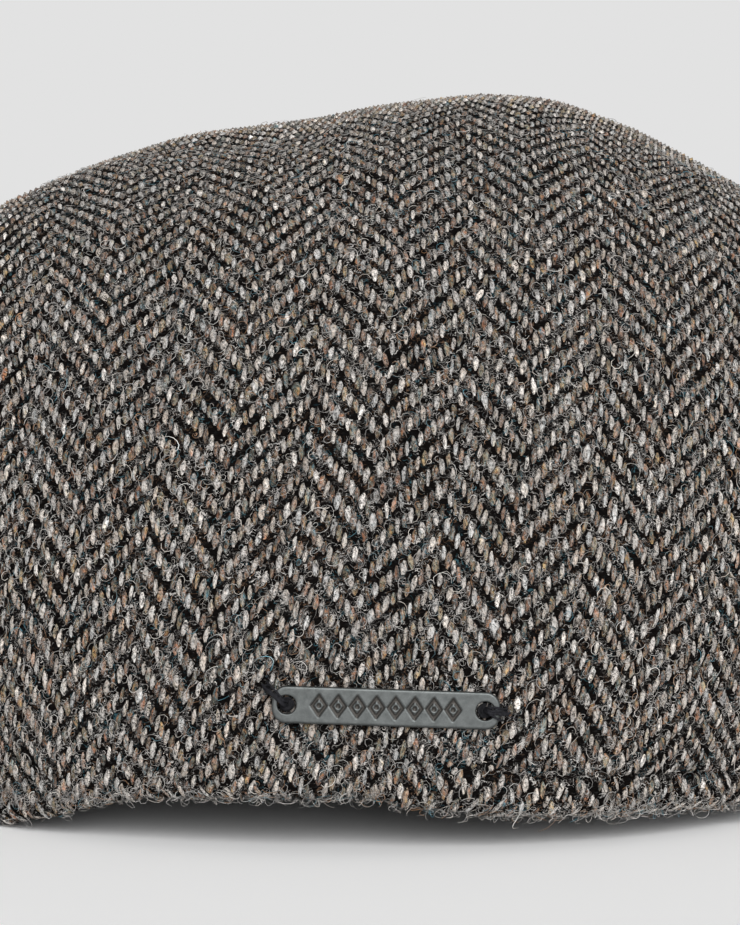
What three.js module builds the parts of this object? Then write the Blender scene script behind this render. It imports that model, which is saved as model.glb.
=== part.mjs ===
// A flat cap of herringbone tweed, standing on its hem as it does when it is taken off.
// Millimetres. +Z is up, -Y is the way the peak points, +X is the wearer's left.
// The crown is three sewn pieces of cloth: a long one from the peak over the top and down the
// back, and a D-shaped one at each side. A pewter bar is sewn on at the back with black thread.
import * as THREE from 'three';

// ---------------------------------------------------------------- driving dimensions
const HEAD = { halfWidth: 84.5, halfLength: 103.5 };          // outside of the hem, seen from above
const GIRTH = { halfWidth: 97, back: 103.5, front: 149 };     // the crown at its widest, from above
const TOP = { x: -17, y: 20, z: 113.2 };                      // the highest place of the crown
// The cloth's wall, thicker at the turned hem, which thins away between two rises up the crown.
const CLOTH = { wall: 2, hem: 3, hemEnds: 0.03, wallBegins: 0.08 };
const SEAM_GAP = 0.3;
// Where the seams reach the hem, in degrees; how far out they lie in between, as a share; and how
// far short of them a side panel's hem begins, so that its corners are blunt.
const SEAM = { backAzimuth: 49, frontAzimuth: 135, waist: 0.66, corner: 1 };
// The peak: half its spread in degrees, its depth in the middle, how much of it shows in front of
// the crown, how far it is tucked under the hem, and how high its rim arches. Its rim and the
// crown's edge on it fall away to the corners with these powers.
const PEAK = { halfAngle: 60, cornerAngle: 59, depth: 52, margin: 9, thickness: 3, tuck: 4, arch: 6,
  cornerDepth: 0.5, rimPower: 0.75, edgePower: 1.2 };
const TAG = { x: -2.1, z: 19.3, length: 30, height: 4.9, thickness: 0.8, endRadius: 1.9,
  holeInset: 1.95, holeRadius: 1.25, tilt: 1.9, bevel: 0.15, clearance: 0.5 };
const THREAD = { radius: 0.5, rise: 0.9 };
// The cloth behind the bar lies in this plane, over this half length and half height.
const TAG_PLANE = HEAD.halfLength - 1.45;
const DRAWN = { halfLength: 19, halfHeight: 8 };
// Each thread bundle runs over its end of the bar, so far out and so far up, to the cloth.
const THREADS = [
  { name: 'thread_tie_left', side: 1, out: 2.5, up: 2.2 },
  { name: 'thread_tie_right', side: -1, out: 2.95, up: -0.3 },
];

// How high the hem stands above the surface, round the cap from the middle of the back (0).
// It arches at the back, touches along both sides, and climbs onto the peak at the front.
const HEM_LINE = [
  { azimuth: -180, height: 19.5 }, { azimuth: -150, height: 15 }, { azimuth: -130, height: 6.5 },
  { azimuth: -120, height: 3.3 }, { azimuth: -110, height: 0 }, { azimuth: -62, height: 0 },
  { azimuth: -38, height: 2.9 }, { azimuth: -24, height: 3.8 }, { azimuth: -13, height: 4.6 },
  { azimuth: -4, height: 6.3 }, { azimuth: 3, height: 7.9 }, { azimuth: 14, height: 7 },
  { azimuth: 21, height: 6.2 }, { azimuth: 26, height: 4.6 }, { azimuth: 32, height: 2.2 },
  { azimuth: 40, height: 0 },
  { azimuth: 110, height: 0 }, { azimuth: 120, height: 3.3 }, { azimuth: 130, height: 6.5 },
  { azimuth: 150, height: 15 }, { azimuth: 180, height: 19.5 },
];
// The crown's form, the same on both sides: the height where it is widest, and the roundness of
// its rise to the top (2 is an ellipse, less is flatter).
const CROWN_FORM = [
  { azimuth: 0, widest: 8, roundness: 2 },
  { azimuth: 30, widest: 22, roundness: 2.02 },
  { azimuth: 60, widest: 32, roundness: 2.12 },
  { azimuth: 90, widest: 36, roundness: 2.15 },
  { azimuth: 120, widest: 32, roundness: 1.9 },
  { azimuth: 150, widest: 22, roundness: 1.6 },
  { azimuth: 180, widest: 15, roundness: 1.45 },
];
// Soft dents and ridges of the crown: where they lie, which way they run (degrees from +X towards
// +Y, seen from above), their half length and half width, and how far the cloth stands out.
const FOLDS = [
  { x: 16, y: 44, z: 106, along: 60, halfLength: 34, halfWidth: 19, out: -3.2 },
  { x: 66, y: 48, z: 90, along: 80, halfLength: 36, halfWidth: 17, out: 2.4 },
  { x: -50, y: 42, z: 100, along: 75, halfLength: 40, halfWidth: 17, out: -3 },
  { x: 44, y: -84, z: 62, along: 35, halfLength: 30, halfWidth: 12, out: 2 },
  { x: -50, y: -80, z: 60, along: 150, halfLength: 26, halfWidth: 11, out: 2.4 },
];

// Steps of the meshes.
const STEPS = { panelLong: 36, panelWide: 22, sideWide: 6, peakLong: 30, peakWide: 5, thread: 12 };

// ---------------------------------------------------------------- finishes
const finish = (color, roughness, metalness) =>
  new THREE.MeshStandardMaterial({ color, roughness, metalness });
const TWEED = finish(0x5f5a56, 0.95, 0);
const SIDE_TWEED = finish(0x5a5652, 0.95, 0);
const PEAK_TWEED = finish(0x57534f, 0.95, 0);
const PEWTER = finish(0x6c7272, 0.42, 0.9);
const BLACK_THREAD = finish(0x15161a, 0.85, 0);

// ---------------------------------------------------------------- small maths
const radians = THREE.MathUtils.degToRad;
const degrees = THREE.MathUtils.radToDeg;
const { lerp, clamp, smoothstep } = THREE.MathUtils;

/** The value of a table's column at an azimuth, on a smooth curve that never overshoots a row. */
function along(rows, column, azimuth) {
  const slope = (i) => (rows[i + 1][column] - rows[i][column])
    / (rows[i + 1].azimuth - rows[i].azimuth);
  const tangent = (i) => {
    if (i === 0 || i === rows.length - 1) return 0;
    const [before, after] = [slope(i - 1), slope(i)];
    return before * after <= 0 ? 0 : (2 * before * after) / (before + after);
  };
  let i = 0;
  while (i < rows.length - 2 && azimuth > rows[i + 1].azimuth) i += 1;
  const step = rows[i + 1].azimuth - rows[i].azimuth;
  const s = clamp((azimuth - rows[i].azimuth) / step, 0, 1);
  return rows[i][column] * (1 + 2 * s) * (1 - s) ** 2 + rows[i + 1][column] * s * s * (3 - 2 * s)
    + step * (tangent(i) * s * (1 - s) ** 2 + tangent(i + 1) * s * s * (s - 1));
}

/** How far along the half of the peak's rim an azimuth lies: 0 in front, 1 and more past a corner. */
const peakShare = (azimuth) => (180 - Math.abs(azimuth)) / PEAK.halfAngle;
const peakFullness = (azimuth) => Math.max(0, 1 - peakShare(azimuth) ** 2);
const peakDepth = (azimuth) => PEAK.depth * peakFullness(azimuth) ** PEAK.rimPower;
const crownReach = (azimuth) =>
  (PEAK.depth - PEAK.margin) * peakFullness(azimuth) ** PEAK.edgePower;

/** The place, seen from above, that lies `out` outside the hem at an azimuth. */
function outsideHem(azimuth, out) {
  const turn = radians(azimuth);
  const onHem = new THREE.Vector2(HEAD.halfWidth * Math.sin(turn), HEAD.halfLength * Math.cos(turn));
  const normal = new THREE.Vector2(HEAD.halfLength * Math.sin(turn),
    HEAD.halfWidth * Math.cos(turn)).normalize();
  return onHem.addScaledVector(normal, out);
}

/** Height of the peak's upper face, `out` outside the hem: it falls from the hem to its rim. */
function peakTop(azimuth, out) {
  const depth = peakDepth(azimuth);
  const hem = along(HEM_LINE, 'height', azimuth) - SEAM_GAP;
  const rim = PEAK.thickness + PEAK.arch * peakFullness(azimuth) ** 2;
  const share = depth > 0 ? clamp(out / depth, 0, 1) : 0;
  return lerp(hem, Math.min(rim, hem), share);
}

/** Height of the crown's lower edge, `out` outside the hem. */
function edgeHeight(azimuth, out) {
  if (peakShare(azimuth) >= 1) return along(HEM_LINE, 'height', azimuth);
  return peakTop(azimuth, out) + SEAM_GAP;
}

// ---------------------------------------------------------------- the crown's outer surface
/** The sum of the soft folds at a point, in millimetres outwards. */
function foldsAt(point) {
  let out = 0;
  for (const fold of FOLDS) {
    const dx = point.x - fold.x;
    const dy = point.y - fold.y;
    const dz = point.z - fold.z;
    const turn = radians(fold.along);
    const run = dx * Math.cos(turn) + dy * Math.sin(turn);
    const aside = Math.hypot(dx * Math.sin(turn) - dy * Math.cos(turn), dz);
    out += fold.out * Math.exp(-((run / fold.halfLength) ** 2) - (aside / fold.halfWidth) ** 2);
  }
  return out;
}

/** Cloth drawn flat behind the bar: the back's curve is eased to the bar's own plane there. */
function drawnToTag(point) {
  const near = Math.exp(-(((point.x - TAG.x) / DRAWN.halfLength) ** 6)
    - ((point.z - TAG.z) / DRAWN.halfHeight) ** 4);
  if (point.y > 0) point.y = lerp(point.y, TAG_PLANE, near);
  return point;
}

// Length of the crown's upper curve for each millimetre it spans, seen from above; and the least
// height of its lower wall.
const CLIMB = 1.35;
const LEAST_WALL = 0.5;

/** The crown's widest outline, seen from above: half an ellipse behind and a longer one in front. */
function girth(azimuth) {
  const turn = radians(azimuth);
  const halfLength = Math.abs(azimuth) < 90 ? GIRTH.back : GIRTH.front;
  return new THREE.Vector2(GIRTH.halfWidth * Math.sin(turn), halfLength * Math.cos(turn));
}

/**
 * A point of the crown: azimuth in degrees, rise from 0 at its lower edge to 1 at its top.
 * The wall leans out from the edge to the girth, and then closes to the top on a superellipse.
 */
function crownForm(azimuth, rise) {
  const edge = outsideHem(azimuth, crownReach(azimuth));
  const edgeZ = edgeHeight(azimuth, crownReach(azimuth));
  const widestZ = Math.max(along(CROWN_FORM, 'widest', Math.abs(azimuth)), edgeZ + LEAST_WALL);
  const roundness = along(CROWN_FORM, 'roundness', Math.abs(azimuth));
  const widest = girth(azimuth);
  const top = new THREE.Vector2(TOP.x, TOP.y);
  const climb = CLIMB * widest.distanceTo(top);
  const wallShare = (widestZ - edgeZ) / (widestZ - edgeZ + climb);
  if (rise < wallShare) {
    const below = 1 - rise / wallShare;
    const plan = widest.lerp(edge, 1 - Math.cos((below * Math.PI) / 2));
    return new THREE.Vector3(plan.x, plan.y, lerp(widestZ, edgeZ, below));
  }
  const outward = Math.sin((((1 - rise) / (1 - wallShare)) * Math.PI) / 2);
  const plan = top.lerp(widest, outward);
  const height = Math.max(0, 1 - outward ** roundness) ** (1 / roundness);
  return new THREE.Vector3(plan.x, plan.y, lerp(widestZ, TOP.z, height));
}

/** The crown as a map of a flat disc: p to the wearer's left, q to the back, its rim the edge. */
function discToForm(p, q) {
  const azimuth = degrees(Math.atan2(p, q));
  return crownForm(azimuth, clamp(1 - Math.hypot(p, q), 0, 1));
}

/** The unit normal of the plain form at a place of the disc, taken just inside its rim. */
function formNormal(p, q) {
  const step = 0.003;
  const shrink = Math.min(1, (1 - 1.4 * step) / Math.max(Math.hypot(p, q), step));
  const [pIn, qIn] = [p * shrink, q * shrink];
  const acrossP = discToForm(pIn + step, qIn).sub(discToForm(pIn - step, qIn));
  const acrossQ = discToForm(pIn, qIn + step).sub(discToForm(pIn, qIn - step));
  return acrossP.cross(acrossQ).normalize();
}

/** The outer face of the cloth, with its folds. */
function outerFace(p, q) {
  const point = discToForm(p, q);
  const soft = smoothstep(1 - Math.hypot(p, q), 0, 0.1);
  point.addScaledVector(formNormal(p, q), foldsAt(point) * soft);
  return drawnToTag(point);
}

/** The inner face: the wall's thickness further in, level at the edge so that the hem is flat. */
function innerFace(p, q) {
  const azimuth = degrees(Math.atan2(p, q));
  const rise = clamp(1 - Math.hypot(p, q), 0, 1);
  const atEdge = 1 - smoothstep(rise, 0, (CLOTH.hemEnds + CLOTH.wallBegins) / 2);
  const thickness = lerp(CLOTH.hem, CLOTH.wall, smoothstep(rise, CLOTH.hemEnds, CLOTH.wallBegins));
  const level = outsideHem(azimuth, 1).sub(outsideHem(azimuth, 0));
  const inward = formNormal(p, q).lerp(new THREE.Vector3(level.x, level.y, 0), atEdge).normalize();
  const point = outerFace(p, q).addScaledVector(inward, -thickness);
  const reach = crownReach(azimuth);
  point.z += atEdge * (edgeHeight(azimuth, reach - thickness) - edgeHeight(azimuth, reach));
  return point;
}

// ---------------------------------------------------------------- the cutting lines of the cloth
const seamEnd = {
  back: { p: Math.sin(radians(SEAM.backAzimuth)), q: Math.cos(radians(SEAM.backAzimuth)) },
  front: { p: Math.sin(radians(SEAM.frontAzimuth)), q: Math.cos(radians(SEAM.frontAzimuth)) },
};
const HALF_GAP = SEAM_GAP / 2 / 75;       // as a share of the disc, at its narrowest stretch
const NEARLY_STRAIGHT = 0.01;             // radians; a row that bows less is drawn with this much

/** The seam in the disc, from the back hem (0) to the edge on the peak (1), moved out by `aside`. */
function seamLine(v, aside) {
  const end = v < 0.5 ? seamEnd.back.p : seamEnd.front.p;
  const p = SEAM.waist + (end - SEAM.waist) * (2 * v - 1) ** 2;
  return { p: p + aside, q: lerp(seamEnd.back.q, seamEnd.front.q, v) };
}

/** Steps from back to front, closer at the back hem. */
const lengthwise = (i) => (i / STEPS.panelLong) ** 1.12;

/** The top panel in the disc: rows bow from the back hem's curve, through straight, to the front's. */
function topPanelPlace(u, v) {
  const seam = seamLine(v, -HALF_GAP);
  const turn = lerp(radians(SEAM.backAzimuth), -radians(180 - SEAM.frontAzimuth), v);
  const bow = Math.abs(turn) < NEARLY_STRAIGHT ? NEARLY_STRAIGHT : turn;
  const place = { p: (seam.p * Math.sin(bow * u)) / Math.sin(bow),
    q: seam.q + (seam.p * (Math.cos(bow * u) - Math.cos(bow))) / Math.sin(bow) };
  const onRim = v === 0 || v === 1;
  const scale = onRim ? 1 / Math.hypot(place.p, place.q) : 1;
  return { p: place.p * scale, q: place.q * scale };
}

/** A side panel in the disc: from the seam (w = 0) out to the hem (w = 1). */
function sidePanelPlace(v, w, side) {
  const seam = seamLine(v, HALF_GAP);
  const azimuth = radians(lerp(SEAM.backAzimuth + SEAM.corner, SEAM.frontAzimuth - SEAM.corner, v));
  const p = lerp(seam.p, Math.sin(azimuth), w);
  const q = lerp(seam.q, Math.cos(azimuth), w);
  return { p: side * p, q };
}

// ---------------------------------------------------------------- closed walls from two faces
/**
 * One closed solid between an outer and an inner grid of points, with all four edges closed.
 * Outwards is to the left of going along the columns, then along the rows.
 */
function wall(columns, rows, outer, inner) {
  const positions = [];
  for (const face of [outer, inner]) {
    for (let j = 0; j <= rows; j += 1) {
      for (let i = 0; i <= columns; i += 1) positions.push(...face(i / columns, j).toArray());
    }
  }
  const perFace = (columns + 1) * (rows + 1);
  const at = (i, j, face) => face * perFace + j * (columns + 1) + i;
  const triangles = [];
  const quad = (a, b, c, d) => triangles.push(a, b, c, a, c, d);
  for (let j = 0; j < rows; j += 1) {
    for (let i = 0; i < columns; i += 1) {
      quad(at(i, j, 0), at(i + 1, j, 0), at(i + 1, j + 1, 0), at(i, j + 1, 0));
      quad(at(i, j, 1), at(i, j + 1, 1), at(i + 1, j + 1, 1), at(i + 1, j, 1));
    }
    quad(at(0, j, 0), at(0, j + 1, 0), at(0, j + 1, 1), at(0, j, 1));
    quad(at(columns, j, 0), at(columns, j, 1), at(columns, j + 1, 1), at(columns, j + 1, 0));
  }
  for (let i = 0; i < columns; i += 1) {
    quad(at(i, 0, 0), at(i, 0, 1), at(i + 1, 0, 1), at(i + 1, 0, 0));
    quad(at(i, rows, 0), at(i + 1, rows, 0), at(i + 1, rows, 1), at(i, rows, 1));
  }
  const geometry = new THREE.BufferGeometry();
  geometry.setAttribute('position', new THREE.Float32BufferAttribute(positions, 3));
  geometry.setIndex(triangles);
  geometry.computeVertexNormals();
  return geometry;
}

// ---------------------------------------------------------------- the pieces
function makeTopPanel() {
  const at = (face) => (s, j) => {
    const place = topPanelPlace(1 - 2 * s, lengthwise(j));
    return face(place.p, place.q);
  };
  return wall(STEPS.panelWide, STEPS.panelLong, at(outerFace), at(innerFace));
}

function makeSidePanel(side) {
  const at = (face) => (s, j) => {
    const place = sidePanelPlace(lengthwise(j), side > 0 ? 1 - s : s, side);
    return face(place.p, place.q);
  };
  return wall(STEPS.sideWide, STEPS.panelLong, at(outerFace), at(innerFace));
}

/** The peak: a crescent that falls from the hem to its rim, tucked a little way under the crown. */
function makePeak() {
  const at = (drop) => (s, j) => {
    const azimuth = 180 + PEAK.cornerAngle * ((2 * j) / STEPS.peakLong - 1);
    const folded = azimuth > 180 ? azimuth - 360 : azimuth;
    const out = lerp(Math.max(peakDepth(folded), PEAK.cornerDepth), -PEAK.tuck, s);
    const plan = outsideHem(folded, out);
    return new THREE.Vector3(plan.x, plan.y, peakTop(folded, out) - drop);
  };
  return wall(STEPS.peakWide, STEPS.peakLong, at(0), at(PEAK.thickness));
}

/** The flat outline of the bar: a rectangle with round corners, and a round hole at each end. */
function tagOutline() {
  const [halfLength, halfHeight, r] = [TAG.length / 2, TAG.height / 2, TAG.endRadius];
  const outline = new THREE.Shape();
  outline.moveTo(-halfLength + r, -halfHeight);
  outline.lineTo(halfLength - r, -halfHeight);
  outline.absarc(halfLength - r, -halfHeight + r, r, -Math.PI / 2, 0, false);
  outline.absarc(halfLength - r, halfHeight - r, r, 0, Math.PI / 2, false);
  outline.absarc(-halfLength + r, halfHeight - r, r, Math.PI / 2, Math.PI, false);
  outline.absarc(-halfLength + r, -halfHeight + r, r, Math.PI, Math.PI * 1.5, false);
  for (const end of [-1, 1]) {
    const hole = new THREE.Path();
    hole.absarc(end * (halfLength - TAG.holeInset), 0, TAG.holeRadius, 0, 2 * Math.PI, true);
    outline.holes.push(hole);
  }
  return outline;
}

function makeTag() {
  return new THREE.ExtrudeGeometry(tagOutline(), {
    depth: TAG.thickness - 2 * TAG.bevel, curveSegments: 6, bevelEnabled: true,
    bevelThickness: TAG.bevel, bevelSize: TAG.bevel, bevelOffset: -TAG.bevel, bevelSegments: 1,
  });
}

/** A thread bundle: out of the hole, over the end of the bar and down to the cloth. */
function makeThread({ side, out, up }) {
  const over = TAG.thickness + THREAD.rise;
  const stations = [
    { share: 0, height: 0 }, { share: 0.02, height: over - 0.6 }, { share: 0.22, height: over },
    { share: 0.6, height: over }, { share: 0.96, height: over - 0.7 }, { share: 1, height: 0 },
  ];
  const route = new THREE.CatmullRomCurve3(stations.map(({ share, height }) =>
    new THREE.Vector3(side * out * share, -up * share, height)));
  const section = new THREE.Shape();
  section.absarc(0, 0, THREAD.radius, 0, 2 * Math.PI, false);
  return new THREE.ExtrudeGeometry(section, {
    steps: STEPS.thread, curveSegments: 4, bevelEnabled: false, extrudePath: route,
  });
}

// ---------------------------------------------------------------- assembly
const cap = new THREE.Group();

function addPiece(parent, name, geometry, material) {
  const piece = new THREE.Mesh(geometry, material);
  piece.name = name;
  parent.add(piece);
  return piece;
}

addPiece(cap, 'top_panel', makeTopPanel(), TWEED);
addPiece(cap, 'side_panel_left', makeSidePanel(1), SIDE_TWEED);
addPiece(cap, 'side_panel_right', makeSidePanel(-1), SIDE_TWEED);
addPiece(cap, 'peak', makePeak(), PEAK_TWEED);

// The bar and its threads share a frame: x is the wearer's left, y down, z away from the cloth.
const tagPlace = new THREE.Group();
tagPlace.position.set(TAG.x, TAG_PLANE + TAG.clearance, TAG.z);
tagPlace.rotation.set(-Math.PI / 2, 0, -radians(TAG.tilt));
cap.add(tagPlace);
addPiece(tagPlace, 'name_tag', makeTag(), PEWTER).position.z = TAG.bevel;
for (const thread of THREADS) {
  const piece = addPiece(tagPlace, thread.name, makeThread(thread), BLACK_THREAD);
  piece.position.x = thread.side * (TAG.length / 2 - TAG.holeInset);
}

// The origin lies on the surface, under the middle of the cap.
cap.updateMatrixWorld(true);
const bounds = new THREE.Box3().setFromObject(cap, true);
const middle = bounds.getCenter(new THREE.Vector3());
cap.position.set(-middle.x, -middle.y, -bounds.min.z);

export default cap;
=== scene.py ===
"""A flat cap of herringbone tweed, dressed with its weave, its loose wool and its sewn-on bar.

Lengths are in millimetres in the cap's own frame, whose origin is the middle of the hem's oval:
x runs to the wearer's left, y to the back and z up. They become metres in the model's frame when
a mesh is made.
"""
from __future__ import annotations

import logging
import math
from dataclasses import dataclass, field
from enum import Enum

import bmesh
import bpy
import numpy as np
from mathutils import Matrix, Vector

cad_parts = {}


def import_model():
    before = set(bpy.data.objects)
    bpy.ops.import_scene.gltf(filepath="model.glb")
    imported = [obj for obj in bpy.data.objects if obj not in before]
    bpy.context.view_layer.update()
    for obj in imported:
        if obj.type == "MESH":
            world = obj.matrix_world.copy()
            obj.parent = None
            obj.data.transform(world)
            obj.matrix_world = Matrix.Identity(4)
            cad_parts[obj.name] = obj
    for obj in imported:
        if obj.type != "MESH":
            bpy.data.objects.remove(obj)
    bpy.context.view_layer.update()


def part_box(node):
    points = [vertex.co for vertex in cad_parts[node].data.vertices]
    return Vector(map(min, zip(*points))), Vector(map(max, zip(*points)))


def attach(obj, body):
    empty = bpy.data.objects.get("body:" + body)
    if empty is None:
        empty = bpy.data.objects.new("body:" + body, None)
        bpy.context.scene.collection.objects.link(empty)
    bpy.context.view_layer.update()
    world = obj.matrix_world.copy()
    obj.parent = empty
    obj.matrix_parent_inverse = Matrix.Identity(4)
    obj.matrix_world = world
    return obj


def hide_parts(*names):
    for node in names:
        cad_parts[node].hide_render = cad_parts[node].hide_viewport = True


Array = np.ndarray
Chance = np.random.Generator
Pair = tuple[float, float]
Triple = tuple[float, float, float]
Colour = Triple
Socket = bpy.types.NodeSocket
LOG = logging.getLogger("flat_cap")
METRES = 0.001


# ------------------ small maths
def smoothstep(value: Array, low: float, high: float) -> Array:
    """Ease from 0 at low to 1 at high: 3s^2 - 2s^3 of the clipped share s."""
    share = np.clip((value - low) / (high - low), 0.0, 1.0)
    return share * share * (3.0 - 2.0 * share)


def stacked(*parts: Array | float) -> Array:
    """Arrays or numbers, brought to one shape and stacked on a new last axis."""
    return np.stack(np.broadcast_arrays(*parts), -1)


def joined(*parts: Array | tuple[float, ...]) -> Array:
    """Arrays put one after another along their first axis."""
    return np.concatenate(parts)


def pairs(one: Array, other: Array) -> tuple[Array, Array]:
    """Every pair of an entry of one list and an entry of the other, as two flat arrays."""
    first, second = np.meshgrid(one, other, indexing="ij")
    return first.ravel(), second.ravel()


def unit(vectors: Array) -> Array:
    """The vectors of the last axis, each divided by its length."""
    return vectors / np.maximum(np.linalg.norm(vectors, axis=-1, keepdims=True), 1e-12)


@dataclass(frozen=True)
class AzimuthTable:
    """A quantity that is given at a few azimuths round the cap and runs smoothly between them."""

    azimuths: tuple[float, ...]
    values: tuple[float, ...]

    def at(self, azimuth: Array) -> Array:
        """Read the table on a curve that never overshoots a row.

        The curve is a cubic between each pair of rows. Its slope at a row is the harmonic mean of
        the straight slopes on both sides, or 0 where those differ in sign and at the two ends.

        Args:
            azimuth: Degrees from the middle of the back.

        Returns:
            The quantity at each azimuth.
        """
        x, y = np.array(self.azimuths), np.array(self.values)
        step = np.diff(x)
        slope = np.diff(y) / step
        before, after = slope[:-1], slope[1:]
        same = before * after > 0
        mean = np.where(same, 2 * before * after / np.where(same, before + after, 1.0), 0.0)
        tangent = joined([0.0], mean, [0.0])
        row = np.clip(np.searchsorted(x, azimuth, side="left") - 1, 0, len(x) - 2)
        s = np.clip((azimuth - x[row]) / step[row], 0.0, 1.0)
        ends = y[row] * (1 + 2 * s) * (1 - s) ** 2 + y[row + 1] * s * s * (3 - 2 * s)
        bend = tangent[row] * s * (1 - s) ** 2 + tangent[row + 1] * s * s * (s - 1)
        return ends + step[row] * bend


@dataclass(frozen=True)
class Fold:
    """A soft dent or ridge of the crown, in millimetres and degrees."""

    place: Triple
    along: float
    half_length: float
    half_width: float
    out: float


@dataclass(frozen=True)
class Crown:
    """The cap's outer form, in millimetres, with its origin in the middle of the hem's oval.

    The form is a map of a flat disc whose rim is the crown's lower edge: p runs to the wearer's
    left and q to the back. An azimuth is in degrees from the middle of the back.
    """

    half_width: float = 84.5
    half_length: float = 103.5
    girth_half_width: float = 97.0
    girth_back: float = 103.5
    girth_front: float = 149.0
    top: Triple = (-17.0, 20.0, 113.2)
    climb: float = 1.35
    least_wall: float = 0.5
    seam_gap: float = 0.3
    peak_half_angle: float = 60.0
    peak_depth: float = 52.0
    peak_margin: float = 9.0
    peak_thickness: float = 3.0
    peak_arch: float = 6.0
    peak_rim_power: float = 0.75
    peak_edge_power: float = 1.2
    bar_x: float = -2.1
    bar_z: float = 19.3
    bar_plane: float = 102.05
    bar_gap: float = 0.5
    bar_half_length: float = 19.0
    bar_half_height: float = 8.0
    hem_line: AzimuthTable = AzimuthTable(
        (-180, -150, -130, -120, -110, -62, -38, -24, -13, -4, 3, 14, 21, 26, 32, 40, 110, 120, 130,
         150, 180),
        (19.5, 15, 6.5, 3.3, 0, 0, 2.9, 3.8, 4.6, 6.3, 7.9, 7, 6.2, 4.6, 2.2, 0, 0, 3.3, 6.5, 15,
         19.5))
    widest: AzimuthTable = AzimuthTable((0, 30, 60, 90, 120, 150, 180), (8, 22, 32, 36, 32, 22, 15))
    roundness: AzimuthTable = AzimuthTable((0, 30, 60, 90, 120, 150, 180),
                                           (2, 2.02, 2.12, 2.15, 1.9, 1.6, 1.45))
    folds: tuple[Fold, ...] = (
        Fold((16, 44, 106), 60, 34, 19, -3.2), Fold((66, 48, 90), 80, 36, 17, 2.4),
        Fold((-50, 42, 100), 75, 40, 17, -3.0), Fold((44, -84, 62), 35, 30, 12, 2.0),
        Fold((-50, -80, 60), 150, 26, 11, 2.4))

    @property
    def bar_middle(self) -> Array:
        """The middle of the bar's back, just outside the cloth that is drawn flat behind it."""
        return np.array((self.bar_x, self.bar_plane + self.bar_gap, self.bar_z))

    def peak_fullness(self, azimuth: Array) -> Array:
        """1 in the middle of the peak, falling as a parabola to 0 at its corners and beyond."""
        share = (180.0 - np.abs(azimuth)) / self.peak_half_angle
        return np.maximum(0.0, 1.0 - share * share)

    def peak_reach(self, azimuth: Array) -> Array:
        """How far the peak's rim lies outside the hem: its depth times a power of the fullness."""
        return self.peak_depth * self.peak_fullness(azimuth) ** self.peak_rim_power

    def edge_reach(self, azimuth: Array) -> Array:
        """How far the crown's lower edge lies outside the hem, on the peak."""
        depth = self.peak_depth - self.peak_margin
        return depth * self.peak_fullness(azimuth) ** self.peak_edge_power

    def outside_hem(self, azimuth: Array, out: Array | float) -> Array:
        """Places seen from above, some way outside the hem's oval along its outward normal.

        Args:
            azimuth: Degrees from the middle of the back.
            out: Millimetres outside the oval.

        Returns:
            The x and y of each place, on the last axis.
        """
        sine, cosine = np.sin(np.radians(azimuth)), np.cos(np.radians(azimuth))
        normal = unit(stacked(self.half_length * sine, self.half_width * cosine))
        oval = stacked(self.half_width * sine, self.half_length * cosine)
        return oval + normal * np.broadcast_to(out, np.shape(azimuth))[..., None]

    def peak_top(self, azimuth: Array, out: Array | float) -> Array:
        """Height of the peak's upper face, straight from the hem's height down to the rim's.

        Args:
            azimuth: Degrees from the middle of the back.
            out: Millimetres outside the oval.

        Returns:
            The height of each place.
        """
        depth = self.peak_reach(azimuth)
        hem = self.hem_line.at(azimuth) - self.seam_gap
        rim = self.peak_thickness + self.peak_arch * self.peak_fullness(azimuth) ** 2
        share = np.where(depth > 0, np.clip(out / np.maximum(depth, 1e-9), 0, 1), 0)
        return hem + (np.minimum(rim, hem) - hem) * share

    def edge_height(self, azimuth: Array, out: Array | float) -> Array:
        """Height of the crown's lower edge: the hem's, or just above the peak in front."""
        on_peak = np.abs(azimuth) > 180.0 - self.peak_half_angle
        return np.where(on_peak, self.peak_top(azimuth, out) + self.seam_gap, self.hem_line.at(azimuth))

    def form(self, p: Array, q: Array) -> Array:
        """The plain form: a wall that leans out to the girth, closed by a superellipse.

        Below the girth the plan goes from the girth's outline to the edge's as one minus a cosine,
        and the height straight. Above it the plan shrinks to the top as a sine, and the height
        follows (1 - outward^n)^(1/n), where n is the roundness at that azimuth.

        Args:
            p: Places to the wearer's left.
            q: Places to the back.

        Returns:
            The points, on the last axis.
        """
        azimuth = np.degrees(np.arctan2(p, q))
        rise = np.clip(1.0 - np.hypot(p, q), 0.0, 1.0)
        reach = self.edge_reach(azimuth)
        edge, edge_z = self.outside_hem(azimuth, reach), self.edge_height(azimuth, reach)
        widest_z = np.maximum(self.widest.at(np.abs(azimuth)), edge_z + self.least_wall)
        roundness = self.roundness.at(np.abs(azimuth))
        sine, cosine = np.sin(np.radians(azimuth)), np.cos(np.radians(azimuth))
        half_length = np.where(np.abs(azimuth) < 90, self.girth_back, self.girth_front)
        girth = stacked(self.girth_half_width * sine, half_length * cosine)
        top = np.array(self.top[:2])
        climb = self.climb * np.linalg.norm(girth - top, axis=-1)
        wall = (widest_z - edge_z) / (widest_z - edge_z + climb)
        below = np.clip(1.0 - rise / wall, 0.0, 1.0)
        lean = (1.0 - np.cos(below * np.pi / 2))[..., None]
        low = np.concatenate((girth + (edge - girth) * lean,
                              (widest_z + (edge_z - widest_z) * below)[..., None]), -1)
        outward = np.sin(np.clip((1.0 - rise) / (1.0 - wall), 0.0, 1.0) * np.pi / 2)
        height = np.maximum(0.0, 1.0 - outward ** roundness) ** (1.0 / roundness)
        high = np.concatenate((top + (girth - top) * outward[..., None],
                               (widest_z + (self.top[2] - widest_z) * height)[..., None]), -1)
        return np.where((rise < wall)[..., None], low, high)

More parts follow.
